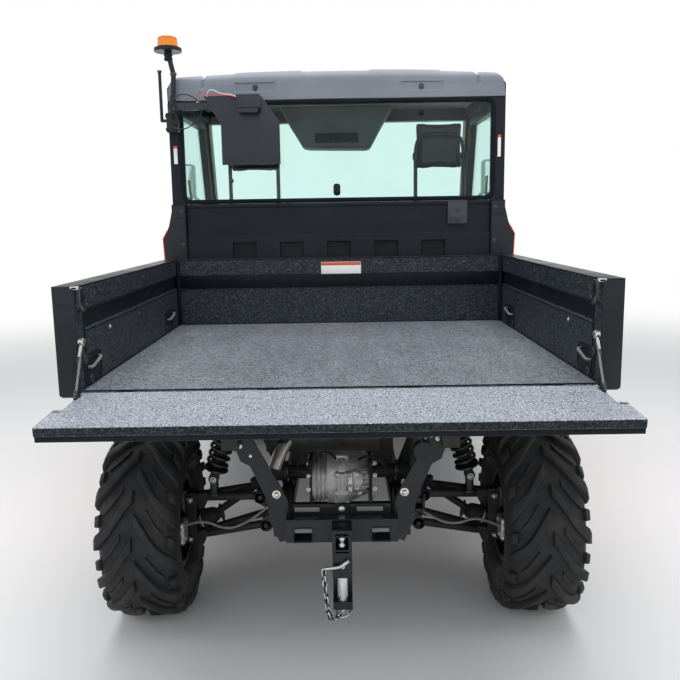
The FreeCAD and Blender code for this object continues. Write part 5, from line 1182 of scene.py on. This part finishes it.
def shock_parts():
    """The parts of one shock absorber, standing on the origin along z, by finish."""
    length = SHOCK_LENGTH
    low, high = 41, length - 37
    turns = 6.6
    spring = []
    for step in range(int(turns * 12) + 1):
        a = math.tau * step / 12
        spring.append((35.5 * math.cos(a), 35.5 * math.sin(a), low + (high - low) * step / (turns * 12)))
    boot = [(14, 36)]
    for z in range(60, 186, 14):
        boot += [(21, z), (26, z + 5), (26, z + 9), (21, z + 13)]
    boot += [(15, length - 36), (0, length - 36), (0, 36)]
    seat = ((0, 30), (38, 30), (42, 33), (42, 38), (38, 40), (0, 40))
    cup = ((0, length - 36), (38, length - 36), (42, length - 33), (42, length - 29), (38, length - 26),
           (0, length - 26))
    foot = ((14, 2), (16, 4), (16, 30), (14, 32), (0, 32), (0, 2))
    head = ((11, length - 30), (12, length - 6), (10, length - 4), (0, length - 4), (0, length - 30))
    return {
        "spring_black": [tube(spring, 6.0, 3, 3, 3), turned(seat, sides=36), turned(cup, sides=36)],
        "rubber": [turned(boot, sides=30)],
        "dusty_paint": [turned(foot, sides=24), turned(head, sides=24),
                        rod((0, -15, 0), (0, 15, 0), 18, sides=28, edge=1.5),
                        rod((0, -15, length), (0, 15, length), 16, sides=28, edge=1.5)],
        "dark_bolt": [hex_bolt((0, -21, 0), BACK, 9, 6), hex_bolt((0, -23, length), BACK, 8, 6)],
    }


def make_shocks():
    shape = Shape("spring_black")
    ear = [(355, 700), (396, 700), (400, 722), (390, 744), (330, 744), (330, 716)]
    for axle in (REAR_AXLE, FRONT_AXLE):
        low = Vector((447, axle - 30, 486))
        top = Vector((382, axle - 30, 722))
        lean = Matrix.Rotation(-math.atan2(low.x - top.x, top.z - low.z), 4, "Y")
        for finish, parts in shock_parts().items():
            for part in parts:
                part.transform(Matrix.Translation(low) @ lean)
            shape.use(finish).both(*parts)
        shape.use("black_paint")
        shape.both(block((431, axle - 53, 424), (463, axle - 7, 433), 2))
        for y in (axle - 51, axle - 15):
            shape.both(block((435, y, 431.9), (459, y + 6, 498), 3))
        for y in (axle - 53, axle - 13):
            shape.both(plate(ear, "y", y, 6, 1.5))
    shape.make("shock_absorber_parts", "chassis", ("shock_absorbers",), 40)


make_shocks()


# Underbody: bolts, bushes, bellows, calipers and hub bolts
def make_suspension_details():
    make_suspension_bolts()
    make_boots()
    make_calipers()


def make_suspension_bolts():
    shape = Shape("bright_bolt")
    for axle in (REAR_AXLE, FRONT_AXLE):
        rows = [((535, axle - 40, 408), 8, 6), ((540, axle - 40, 264), 8, 6), ((447, axle - 52, 486), 8, 7)]
        if axle == REAR_AXLE:
            rows += [((115, axle - 62, z), 5.5, 5) for z in (542, 499, 450)]
        for at, radius, height in rows:
            shape.both(*bolt(at, BACK, (radius * 1.35, 2), (radius, height)))
    shape.use("rubber")
    bush = ((8, 0), (20, 0), (22, 3), (20, 6), (8, 6))
    for axle in (REAR_AXLE, FRONT_AXLE):
        for x, z in ((283, 429), (265, 327)):
            for y in (-74, 36):
                shape.both(turned(bush, (x, axle + y, z), BACK, 24, True))
    shape.make("suspension_bolts")


def make_boots():
    """Folded boots at both ends of the half shafts, each held by a clip."""
    bellows = Shape("rubber")
    # Inner end, outer end, inner radius, its share at the first fold, step per fold, outer radius
    rows = (((240, 495), (318, 456), 30, 1.0, -0.12, 15), ((430, 348), (500, 326), 32, 0.52, 0.12, 32))
    for start, end, base, share, step, last in rows:
        low = Vector((start[0], REAR_AXLE, start[1]))
        high = Vector((end[0], REAR_AXLE, end[1]))
        length = (high - low).length
        profile = [(0, 0), (base, 0)]
        for i in range(5):
            radius = base * (share + step * i)
            at = length * (i + 0.5) / 5.5
            profile += [(radius * 0.84, at - 4), (radius * 1.12, at + 3)]
        profile += [(last, length), (0, length)]
        bellows.both(turned(profile, low, high - low, 28))
    bellows.use("zinc")
    for x, z, lean, radius in ((238, 496, -0.5, 31), (496, 327, -0.3, 33)):
        clip = ((radius - 2, 0), (radius + 1.5, 0), (radius + 1.5, 5), (radius - 2, 5))
        bellows.both(turned(clip, (x, REAR_AXLE, z), (1, 0, lean), 32, True))
    bellows.make("drive_shaft_boots")


def make_calipers():
    calipers = Shape("cast")
    calipers.both(block((541, -1004, 281), (563, -938, 357), 5),
                  block((575, -1004, 281), (594, -938, 357), 5),
                  block((545, -1006, 306), (592, -996, 332), 4))
    for y, z in ((-990, 300), (-955, 340)):
        calipers.both(rod((536, y, z), (546, y, z), 8, sides=18, edge=1))
    calipers.use("bright_bolt")
    for x, z in ((552, 290), (552, 348), (584, 300)):
        calipers.both(hex_bolt((x, -1006, z), BACK, 6.5, 5))
    calipers.make("brake_calipers")


make_suspension_details()


# Transaxle: ribbed drum, bolted flange, cover, bright cylinder, plugs
def make_transaxle_details():
    drum_y, drum_z = -870, 480
    case = Shape("cast")
    for x in (-98, -84, -70):
        case.put(turned(((76, 0), (86, 1.5), (86, 6.5), (76, 8)), (x, drum_y, 468), RIGHT, 56, True))
    flange = ((95, 0), (110, 2), (111, 6), (111, 22), (110, 26), (95, 28))
    case.put(turned(flange, (-14, drum_y, drum_z), RIGHT, 64, True))
    for (y0, z0), (y1, z1) in zip(circle(14, 92), circle(14, 66)):
        case.put(rod((20, drum_y + y0, drum_z + z0), (90, drum_y + y1, drum_z + z1), 6, 4.5, 10, 1))
    case.put(turned(((0, 10), (28, 10), (36, 6), (38, 0), (0, 0)), (40, -966, 490), BACK, 40))
    case.put(block((-6, -985, 452), (10, -955, 520), 6))
    cylinder = ((0, 0), (11, 0), (12, 2), (12, 34), (9, 38), (9, 66), (0, 66))
    case.use("zinc").put(turned(cylinder, (30, -975, 455), UP, 26))
    case.use("bright_bolt")
    for y, z in circle(10, 103, 0.5):
        for x, axis in ((20, RIGHT), (-20, LEFT)):
            case.put(hex_bolt((x, drum_y + y, drum_z + z), axis, 7.5, 6))
    for x, z in circle(6, 28):
        case.put(hex_bolt((40 + x, -976, 490 + z), BACK, 5, 4))
    case.put(turned(((0, 8), (9, 8), (11, 6), (11, 0), (0, 0)), (62, -940, 440), (0, -1, -0.3), 6))
    for y in (-930, -900, -850, -828):
        for z in (535, 372):
            case.put(hex_bolt((-112, y, z), LEFT, 7, 6), hex_bolt((106, y, z), RIGHT, 7, 6))
    case.use("disc_steel").both(turned(((22, 0), (36, 1), (36, 9), (22, 10)), (188, drum_y, 495), RIGHT,
                                       36, True),
                                turned(((22, 0), (30, 1), (30, 6), (22, 7)), (150, drum_y, 495), RIGHT, 36,
                                       True))
    case.use("rubber")
    case.put(tube(((-20, -940, 560), (-34, -965, 590), (-70, -975, 600), (-96, -968, 560), (-120, -950, 530)),
                  5, 3),
             tube(((60, -930, 552), (84, -965, 580), (130, -978, 570), (158, -962, 520), (170, -930, 500)), 4,
                  3))
    case.make("transaxle_details", sharp=45)
    make_exhaust_details()


def make_exhaust_details():
    pipe = Shape("steel_pipe")
    pipe.put(tube(((-150, -1080, 690), (-172, -1104, 680), (-192, -1128, 650), (-214, -1155, 600)), 22.2, 5))
    pipe.put(turned(((20, 0), (24.5, 1), (24.5, 6), (20, 7)), (-160, -1092, 686), (-0.6, -0.7, -0.4), 32,
                    True))
    pipe.use("muffler_steel")
    for x in (-236, -120, 0, 112):
        pipe.put(turned(((60, 0), (64.5, 1), (64.5, 8), (60, 9)), (x, -1060, 690), RIGHT, 56, True))
    pipe.use("zinc").put(block((-176, -1122, 688), (-150, -1106, 694), 1.5))
    pipe.make("exhaust_details", sharp=45)


make_transaxle_details()


# Hitch: plate bolts, blank label plates, pocket rims, pin with its handle and chain
def make_hitch_details():
    bolts = Shape("bright_bolt")
    for x, z, radius in ((-199, 545.4, 11), (193, 547.5, 11), (-274.3, 669, 4), (267.5, 668.7, 7.5),
                         (294, 715.4, 6), (-306, 700, 6)):
        bolts.put(*bolt((x, -1235, z), BACK, (radius * 1.2, 1.5), (radius, radius * 0.7), 1))
    bolts.put(*bolt((0, -1239.5, 497), BACK, (10, 1.5), (8, 5), 1, hex_bolt))
    bolts.use("black_paint")
    bolts.both(rim(((86, 411), (150, 459), 5), ((90, 415), (146, 455), 4), "y", -1290, 3, 0.8))
    bolts.put(block((-170, -1288.5, 478), (170, -1284, 484), 1.5))
    bolts.put(turned(((18, 0), (27, 1), (28, 5), (28, 10), (18, 12)), (246, -1262, 688), BACK, 32, True))
    # Finish, inset, corner radius, place, depth and rounding of the two blank labels
    layers = (("cab_plastic", 0, 3, -1241.5, 2.5, 0.6), ("sleeve_grey", 4, 2, -1242.3, 1.2, 0.3))
    for finish, inset, radius, y, depth, edge in layers:
        bolts.use(finish)
        for x0, x1 in ((-150 + inset * 1.5, -62 - inset * 1.5), (40 + inset * 1.5, 132 - inset * 1.5)):
            bolts.put(panel((x0, 487 + inset), (x1, 509 - inset), radius, "y", y, depth, edge))
    bolts.make("hitch_fasteners")
    make_hitch_pin()


def make_hitch_pin():
    pin_y = -1329.3
    pin = Shape("zinc")
    pin.put(tube(((19, -1365, 389), (6, -1365.5, 378), (-6, -1366, 370), (-30, -1366, 367),
                  (-58, -1367, 364)), 6, 4))
    pin.put(rod((0, -1366, 370), (0, -1352, 370), 8, sides=20, edge=1), *chain_links())
    pin.use("bright_bolt")
    pin.put(turned(((0, 8), (12, 8), (14, 6), (14, 0), (0, 0)), (0, pin_y, 370), UP, 24))
    pin.put(turned(((13, 0), (17, 1), (17, 5), (13, 6)), (0, pin_y, 254), UP, 28, True))
    pin.use("black_paint").put(rim(((-24, 414), (24, 462), 5), ((-19, 419), (19, 457), 4), "y",
                                   -1359.5, 3, 0.8))
    pin.use("zinc").put(rod((0, -1340, 254), (0, -1340, 330), 15.5, sides=30, edge=1.5))
    knob = ((0, 0), (11, 0), (14, 4), (14, 12), (8, 17), (13, 22), (14, 30), (10, 38), (0, 41))
    pin.put(turned(knob, (0, -1338, 420), UP, 26))
    pin.put(turned(((0, 0), (11, 2), (13.5, 5), (13.5, 22), (0, 22)), (0, pin_y, 202), UP, 26))
    turns = [math.tau * k / 12 for k in range(12)]
    ring = [(22 * math.cos(t), -1331 + 20 * math.sin(t), 208 + 7 * math.sin(t + 0.6)) for t in turns]
    pin.put(tube(ring, 2.4, 2, 3, 3, True))
    pin.make("hitch_pin_details", sharp=50)


def chain_links(count=12):
    """Links drawn along the chain's fall, each turned a quarter from the one before."""
    path = [Vector(p) for p in ((-55, -1367.3, 362), (-51, -1370, 302), (-46, -1371, 240), (-37, -1365, 210),
                                (-19, -1347, 200), (-4, -1333, 210))]
    lengths = [(b - a).length for a, b in zip(path, path[1:])]
    turns = [math.tau * k / 10 for k in range(10)]
    links = []
    for i in range(count):
        left = sum(lengths) * (i + 0.5) / count
        for a, b, length in zip(path, path[1:], lengths):
            if left <= length:
                break
            left -= length
        link = tube([(6.4 * math.cos(t), 0, 14.5 * math.sin(t)) for t in turns], 2.3, 2, 3, 3, True)
        turn = facing(b - a) @ Matrix.Rotation(math.pi / 2 * (i % 2) + 0.5, 4, "Z")
        link.transform(Matrix.Translation(a.lerp(b, left / length)) @ turn)
        links.append(link)
    return links


make_hitch_details()


# Doors: orange outer skins on black frames, handles, hinges, window rubbers, mirrors
def make_door(side, sign):
    """One door's skin, fittings and mirror, drawn for the right side and set on its own."""
    body = "door_" + side
    here = MIRRORED if sign < 0 else Matrix.Identity(4)
    skin = Shape("orange")
    outline = [(150, 490), (684, 490), (690, 540), (762, 742), (876, 812), (1068, 812), (1068, 1188),
               (150, 1188)]
    skin.stamp(plate(outline, "x", 812.5, 6, 3.5), here)
    crease = [(210, 1060), (1010, 1060), (1022, 1092), (980, 1120), (210, 1120)]
    skin.stamp(plate(crease, "x", 815.5, 5, 2.4), here)
    low = [(230, 560), (640, 560), (700, 760), (820, 900), (980, 900), (980, 990), (230, 990)]
    inner = [(y + (10 if y < 500 else -12), z + (10 if z < 700 else -8)) for y, z in low]
    skin.stamp(frame_plate(low, inner, "x", 816, 4, 1.2), here)
    skin.make("door_skin_" + side, body)

    fit = Shape("cab_plastic")
    fit.stamp(block((760, 172, 1276), (768, 860, 1288), 3), here)
    fit.stamp(panel((190, 1128), (320, 1172), 12, "x", 818.5, 5, 2), here)
    fit.stamp(panel((205, 1136), (300, 1162), 8, "x", 824, 10, 3.5), here)
    fit.stamp(block((812, 155, 1192), (822, 1072, 1206), 3), here)
    hinges = (830, 1130)
    for z in hinges:
        fit.stamp(rod((825, 1086, z - 42), (825, 1086, z + 42), 11, sides=20, edge=2), here)
        fit.stamp(block((812, 1010, z - 26), (822, 1086, z + 26), 4), here)
    fit.use("bright_bolt")
    for z in (z + rise for z in hinges for rise in (-14, 14)):
        for y in (1030, 1058):
            fit.stamp(dome_bolt((822, y, z), RIGHT, 6, 4), here)
    fit.stamp(turned(((0, 4), (8, 4), (9, 2), (9, 0), (0, 0)), (824, 214, 1149), RIGHT, 20), here)
    fit.make("door_fittings_" + side, body)

    middle = 879 * sign
    glass = Shape("mirror")
    glass.put(panel((middle - 50, 1508), (middle + 50, 1682), 16, "y", 937, 4, 1, 6))
    edge = rim(((middle - 60, 1498), (middle + 60, 1692), 22),
               ((middle - 49, 1509), (middle + 49, 1681), 15), "y", 935, 8, 2, 6)
    glass.use("cab_plastic").put(edge)
    glass.make("mirror_face_" + side, body)


make_door("left", -1)
make_door("right", 1)


# Front: grille surround, lamp reflectors and rims, bonnet lines, bumper caps, wiper, wheel arches
def make_front():
    lamps = Shape("chrome")
    bowl = ((0, 0), (20, 3), (34, 14), (40, 30), (36, 30), (30, 18), (0, 6))
    lamps.both(turned(bowl, (295, 1604, 825), FORWARD, 36), turned(bowl, (372, 1600, 825), FORWARD, 36))
    lamps.use("cab_plastic").both(rim(((244, 764), (416, 886), 16), ((254, 774), (406, 876), 10), "y",
                                      1624, 14, 3))
    lamps.make("headlamp_parts")

    grille = Shape("cab_plastic")
    middle = ((-226, 664), (226, 876), 10)
    grille.put(rim(((-240, 650), (240, 890), 18), middle, "y", 1612, 16, 4),
               rim(middle, ((-214, 676), (214, 864), 6), "y", 1606, 10, 2))
    for x in (-150, -75, 0, 75, 150):
        grille.put(block((x - 3, 1608, 664), (x + 3, 1619, 876), 1))
    grille.make("grille_surround")

    bonnet = Shape("orange")
    bonnet.both(lofted([[(150 + dx, y, z + dz) for dx, dz in ((-26, -2), (0, 5), (26, -2), (0, -6))]
                        for y, z in ((1230, 1152), (1380, 1086), (1520, 1024))], 1.5))
    bonnet.use("cab_plastic")
    section = ((-95, 0), (-85, 6), (85, 6), (95, 0), (95, -4), (-95, -4))
    bonnet.put(lofted([[(dx, y, z + dz) for dx, dz in section] for y, z in ((1236, 1152), (1300, 1123))],
                      1.5))
    for i in range(5):
        y = 1246 + i * 10
        z = 1154 - i * 4.5
        bonnet.put(block((-80, y, z), (80, y + 4, z + 5), 1))
    bonnet.make("bonnet_details", "bonnet")

    bumper = Shape("black_paint")
    bumper.both(turned(((20, 0), (27, 1), (27, 12), (20, 13)), (300, 1646, 746), UP, 32, True))
    bumper.use("rubber").both(turned(((0, 6), (20, 6), (25, 3), (26, 0), (0, 0)), (300, 1646, 759), UP, 32))
    eye = ((12, 0), (20, 0), (22, 6), (22, 12), (20, 18), (12, 18))
    bumper.use("zinc").both(turned(eye, (330, 1637, 560), FORWARD, 28, True))
    bumper.make("bumper_fittings")

    wiper = Shape("cab_plastic")
    wiper.put(rod((0, 1118, 1196), (0, 1140, 1206), 14, sides=24, edge=2))
    wiper.put(tube(((0, 1136, 1206), (-60, 1124, 1222), (-180, 1112, 1240), (-300, 1106, 1246)), 5, 3))
    wiper.put(lofted([[(x, y + dy, z + dz) for dy, dz in ((-6, -5), (6, -5), (3, 7), (-3, 7))]
                      for x, y, z in ((-60, 1106, 1232), (-300, 1103, 1240), (-520, 1106, 1232))], 1))
    wiper.make("wiper")


def make_arches():
    """Black lips round the front wheel openings."""
    rings = []
    for step in range(15):
        a = math.radians(38 + 66 * step / 14)
        rings.append([(x, FRONT_AXLE + r * math.cos(a), WHEEL_Z + r * math.sin(a))
                      for r, x in ((402, 806), (428, 806), (424, 820), (406, 822))])
    Shape("cab_plastic").both(lofted(rings, 2)).make("front_arch_lips")


make_front()
make_arches()


# Steering wheel grip, gauges, vents and controls on the dashboard
def make_dashboard():
    parts = Shape("cab_plastic")
    vent = ((30, 0), (40, 0), (42, 4), (38, 8), (30, 8))
    for x in (-620, -180, 180, 620):
        parts.put(turned(vent, (x, 928, 1138), (0, -0.87, 0.49), 36, True))
        for k in (-16, 0, 16):
            parts.put(block((x - 30, 926, 1136 + k), (x + 30, 931, 1140 + k), 1))
    hood = [(830, 1196), (1000, 1240), (1020, 1190), (900, 1160)]
    parts.put(plate(hood, "x", -520, 240, 10))
    parts.use("lamp_clear").put(plate([(880, 1172), (884, 1170), (905, 1212), (901, 1214)], "x",
                                      -500, 200, 1))
    parts.use("liner_band").put(plate([(878, 1170), (882, 1168), (903, 1210), (899, 1212)], "x",
                                      -510, 220, 1))
    parts.use("dark_bolt")
    for i in range(6):
        parts.put(rod((-90 + i * 36, 944, 1070), (-90 + i * 36, 928, 1066), 10, sides=20, edge=2))
    parts.use("rubber")
    parts.put(rod((-60, 700, 820), (-60, 730, 940), 8, sides=16, edge=2))
    parts.put(turned(((0, -24), (14, -20), (20, 0), (16, 18), (0, 24)), (-60, 732, 950), (0, 0.2, 1), 24))
    parts.make("dashboard_fittings")


make_dashboard()


# Side panels and steps: ribs, vents and bolts
def make_side_panels():
    parts = Shape("cab_plastic")
    for z in range(560, 740, 34):
        parts.both(block((799, -400, z), (804, -240, z + 14), 3))
    parts.both(block((799, -470, 470), (806, 40, 486), 3), block((799, -470, 800), (806, 40, 812), 3))
    parts.use("dark_bolt")
    for y in (-450, -200, 20):
        for z in (520, 780):
            parts.both(dome_bolt((800, y, z), RIGHT, 9, 5))
    parts.make("side_panel_details")
    sills = Shape("cab_plastic")
    for y in range(180, 740, 40):
        sills.both(block((764, y, 459), (800, y + 18, 464), 2))
    sills.make("sill_treads")


make_side_panels()


# Seats: cushions swollen with cloth, then sewn channels, headrest hoops and belts
CLOTH_FRAMES = 20
SEAM_WIDTH = 11


def settled(obj):
    """Swap the object's mesh for what its modifiers make of it."""
    shown = obj.evaluated_get(bpy.context.evaluated_depsgraph_get())
    mesh = bpy.data.meshes.new_from_object(shown)
    obj.modifiers.clear()
    obj.data = mesh


def swell(obj, voxel, cap):
    """Even out the mesh, then let cloth under pressure crown it; cap is how far a point may move."""
    remesh = obj.modifiers.new("even", "REMESH")
    remesh.mode = "VOXEL"
    remesh.voxel_size = voxel * MM
    settled(obj)
    start = [v.co.copy() for v in obj.data.vertices]
    cloth = obj.modifiers.new("cloth", "CLOTH")
    cloth.settings.use_pressure = True
    cloth.settings.uniform_pressure_force = 4
    cloth.settings.quality = 4
    cloth.settings.effector_weights.gravity = 0
    cloth.point_cache.frame_start = 1
    cloth.point_cache.frame_end = CLOTH_FRAMES
    for frame_number in range(1, CLOTH_FRAMES + 1):
        scene.frame_set(frame_number)
    settled(obj)
    scene.frame_set(1)
    for vert, before in zip(obj.data.vertices, start):
        move = vert.co - before
        if move.length > cap * MM:
            vert.co = before + move.normalized() * cap * MM


def sew(obj, groove):
    """Sink the surface along sewn lines; groove gives a line's distance and depth at a point."""
    for vert in obj.data.vertices:
        near, depth = groove(vert.co / MM)
        if near < SEAM_WIDTH:
            vert.co -= vert.normal * depth * MM * (0.5 + 0.5 * math.cos(math.pi * near / SEAM_WIDTH))


def pad(name, part, places, voxel, cap, groove, replaces=()):
    """One swollen pad, set at each x; the first stands for the CAD solid."""
    first = Shape("seat_vinyl").put(part).make(name + "_1", "chassis", replaces)
    swell(first, voxel, cap)
    sew(first, groove)
    other = bpy.data.objects.new(name + "_2", first.data.copy())
    scene.collection.objects.link(other)
    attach(other, "chassis")
    for obj, x in zip((first, other), places):
        obj.data.transform(Matrix.Translation((x * MM, 0, 0)))
        for face in obj.data.polygons:
            face.use_smooth = True
        obj.data.materials.clear()
        obj.data.materials.append(finishes["seat_vinyl"])
        finer = obj.modifiers.new("finer", "SUBSURF")
        finer.levels = 1
        finer.render_levels = 1


def make_seats():
    def channels(point):
        return min(abs(abs(point.x) - 158), abs(abs(point.x) - 53)), 5.0

    def border(point):
        return min(abs(abs(point.x) - 88), abs(point.z - 1740) if abs(point.x) < 88 else 99), 3.5

    seat = plate([(218, 716), (604, 716), (630, 786), (270, 776)], "x", -236, 472, 16, 3)
    pad("seat_cushion", seat, SEAT_X, 7, 22, channels, ("seats",))
    back = plate([(180, 776), (268, 796), (212, 1396), (158, 1396)], "x", -231, 462, 16, 3)
    pad("seat_back", back, SEAT_X, 7, 22, channels)
    head = block((-112, 192, 1598), (112, 228, 1812), 16, 3)
    pad("headrest_pad", head, HEAD_X, 5, 10, border, ("headrests",))
    make_hoops()
    make_belts()


def make_hoops():
    """Tube hoops that carry the headrests, with their sockets and clamps."""
    hoops = Shape("black_paint")
    socket = ((9, 0), (17, 0), (18, 4), (14, 14), (9, 16))
    for x in HEAD_X:
        run = [(-112, 1398), (-112, 1560), (-112, 1730), (-60, 1756), (60, 1756), (112, 1730), (112, 1560),
               (112, 1398)]
        hoops.use("black_paint").put(tube([(x + dx, 172, z) for dx, z in run], 9, 4))
        hoops.use("cab_plastic")
        for foot in (x - 112, x + 112):
            hoops.put(turned(socket, (foot, 172, 1404), UP, 24, True))
            hoops.put(block((foot - 12, 166, 1640), (foot + 12, 196, 1672), 4))
    hoops.make("headrest_hoops")


def make_belts():
    """Belt buckles beside each cushion, and straps from the pillars down to the cushion's outer side."""
    belts = Shape("rubber")
    for x in SEAT_X:
        belts.put(block((x - 262, 200, 690), (x - 240, 226, 800), 4),
                  block((x + 240, 200, 690), (x + 262, 226, 800), 4))
    belts.use("label_red")
    for x in SEAT_X:
        belts.put(block((x + 246, 206, 798), (x + 256, 220, 806), 1.5))
    belts.use("seat_vinyl")
    for x, side in zip(SEAT_X, (-1, 1)):
        top = Vector((side * 690, 128, 1560))
        low = Vector((x + side * 255, 236, 720))
        sag = Vector((0, 6, 0))
        strap = [[point + Vector((dx, dy, 0)) for dx, dy in ((-2, -23), (2, -23), (2, 23), (-2, 23))]
                 for point in (top, top.lerp(low, 0.35) + sag, top.lerp(low, 0.7) + sag, low)]
        belts.put(lofted(strap, 0.6))
    belts.make("seat_belts")


make_seats()


# Solids that show as they are: finish, edge rounding in millimetres, nodes; * stands for left and right
NODE_FINISHES = (
    ("dusty_paint", 1.5, "main_frame"),
    ("dusty_paint", 1.2, "rear_knuckles front_knuckle_*"),
    ("dusty_paint", 1.0, "suspension_arms"),
    ("black_paint", 1.5, "bumper"),
    ("black_paint", 1.2, "hitch_frame pin_hitch beacon_mount"),
    ("black_paint", 1.0, "cylinder_barrel"),
    ("black_paint", 0.8, "steering_rack"),
    ("spring_black", 0.8, "shock_absorbers"),
    ("cast", 2.0, "transaxle"),
    ("rubber", 1.5, "drive_shafts steering_wheel"),
    ("rubber", 2.0, "rear_window_seal"),
    ("engine_grey", 6.0, "engine"),
    ("muffler_steel", 1.0, "exhaust"),
    ("liner_floor", 2.0, "bed_floor"),
    ("liner_wall", 2.5, "bed_walls"),
    # The tailgate's liner carries a painted sheen in its colour.
    ("sheen_lit_gate_liner", 3.0, "tailgate"),
    ("sleeve_grey", 0, "tailgate_cables"),
    ("chrome", 0.6, "cylinder_rod"),
    ("cab_plastic", 3.0, "cab_frame cab_rear_panel door_*"),
    ("cab_plastic", 6.0, "dashboard"),
    ("cab_plastic", 2.0, "mirror_*"),
    ("roof_plastic", 8.0, "roof"),
    ("glass", 0, "cab_glass door_glass_*"),
    ("floor_plastic", 2.0, "cab_floor"),
    ("seat_vinyl", 12.0, "seats"),
    ("seat_vinyl", 3.0, "headrests"),
    ("orange", 16.0, "front_body"),
    ("orange", 5.0, "bonnet"),
    ("orange", 3.0, "side_panels"),
    ("lamp_glass", 2.0, "headlamps"),
    ("board_black", 1.0, "plate_board"),
    ("amber", 3.0, "beacon_lens"),
    ("rim_black", 1.5, "front_rim_* rear_rim_*"),
    ("tyre", 2.0, "front_tyre_* rear_tyre_*"))


def dress_nodes():
    for finish, edge, names in NODE_FINISHES:
        for name in names.split():
            for side in ("left", "right") if "*" in name else ("",):
                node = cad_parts[name.replace("*", side)]
                node.data.materials.clear()
                node.data.materials.append(finishes[finish])
                if edge:
                    soften(node, edge)


def soften(obj, edge):
    weld = obj.modifiers.new("weld", "WELD")
    weld.merge_threshold = 0.00002
    flat = obj.modifiers.new("flat", "DECIMATE")
    flat.decimate_type = "DISSOLVE"
    flat.angle_limit = math.radians(0.6)
    bevel = obj.modifiers.new("edge", "BEVEL")
    bevel.width = edge * MM
    bevel.segments = 2
    bevel.limit_method = "ANGLE"
    bevel.angle_limit = math.radians(34)
    bevel.use_clamp_overlap = True
    obj.modifiers.new("shade", "WEIGHTED_NORMAL")


dress_nodes()
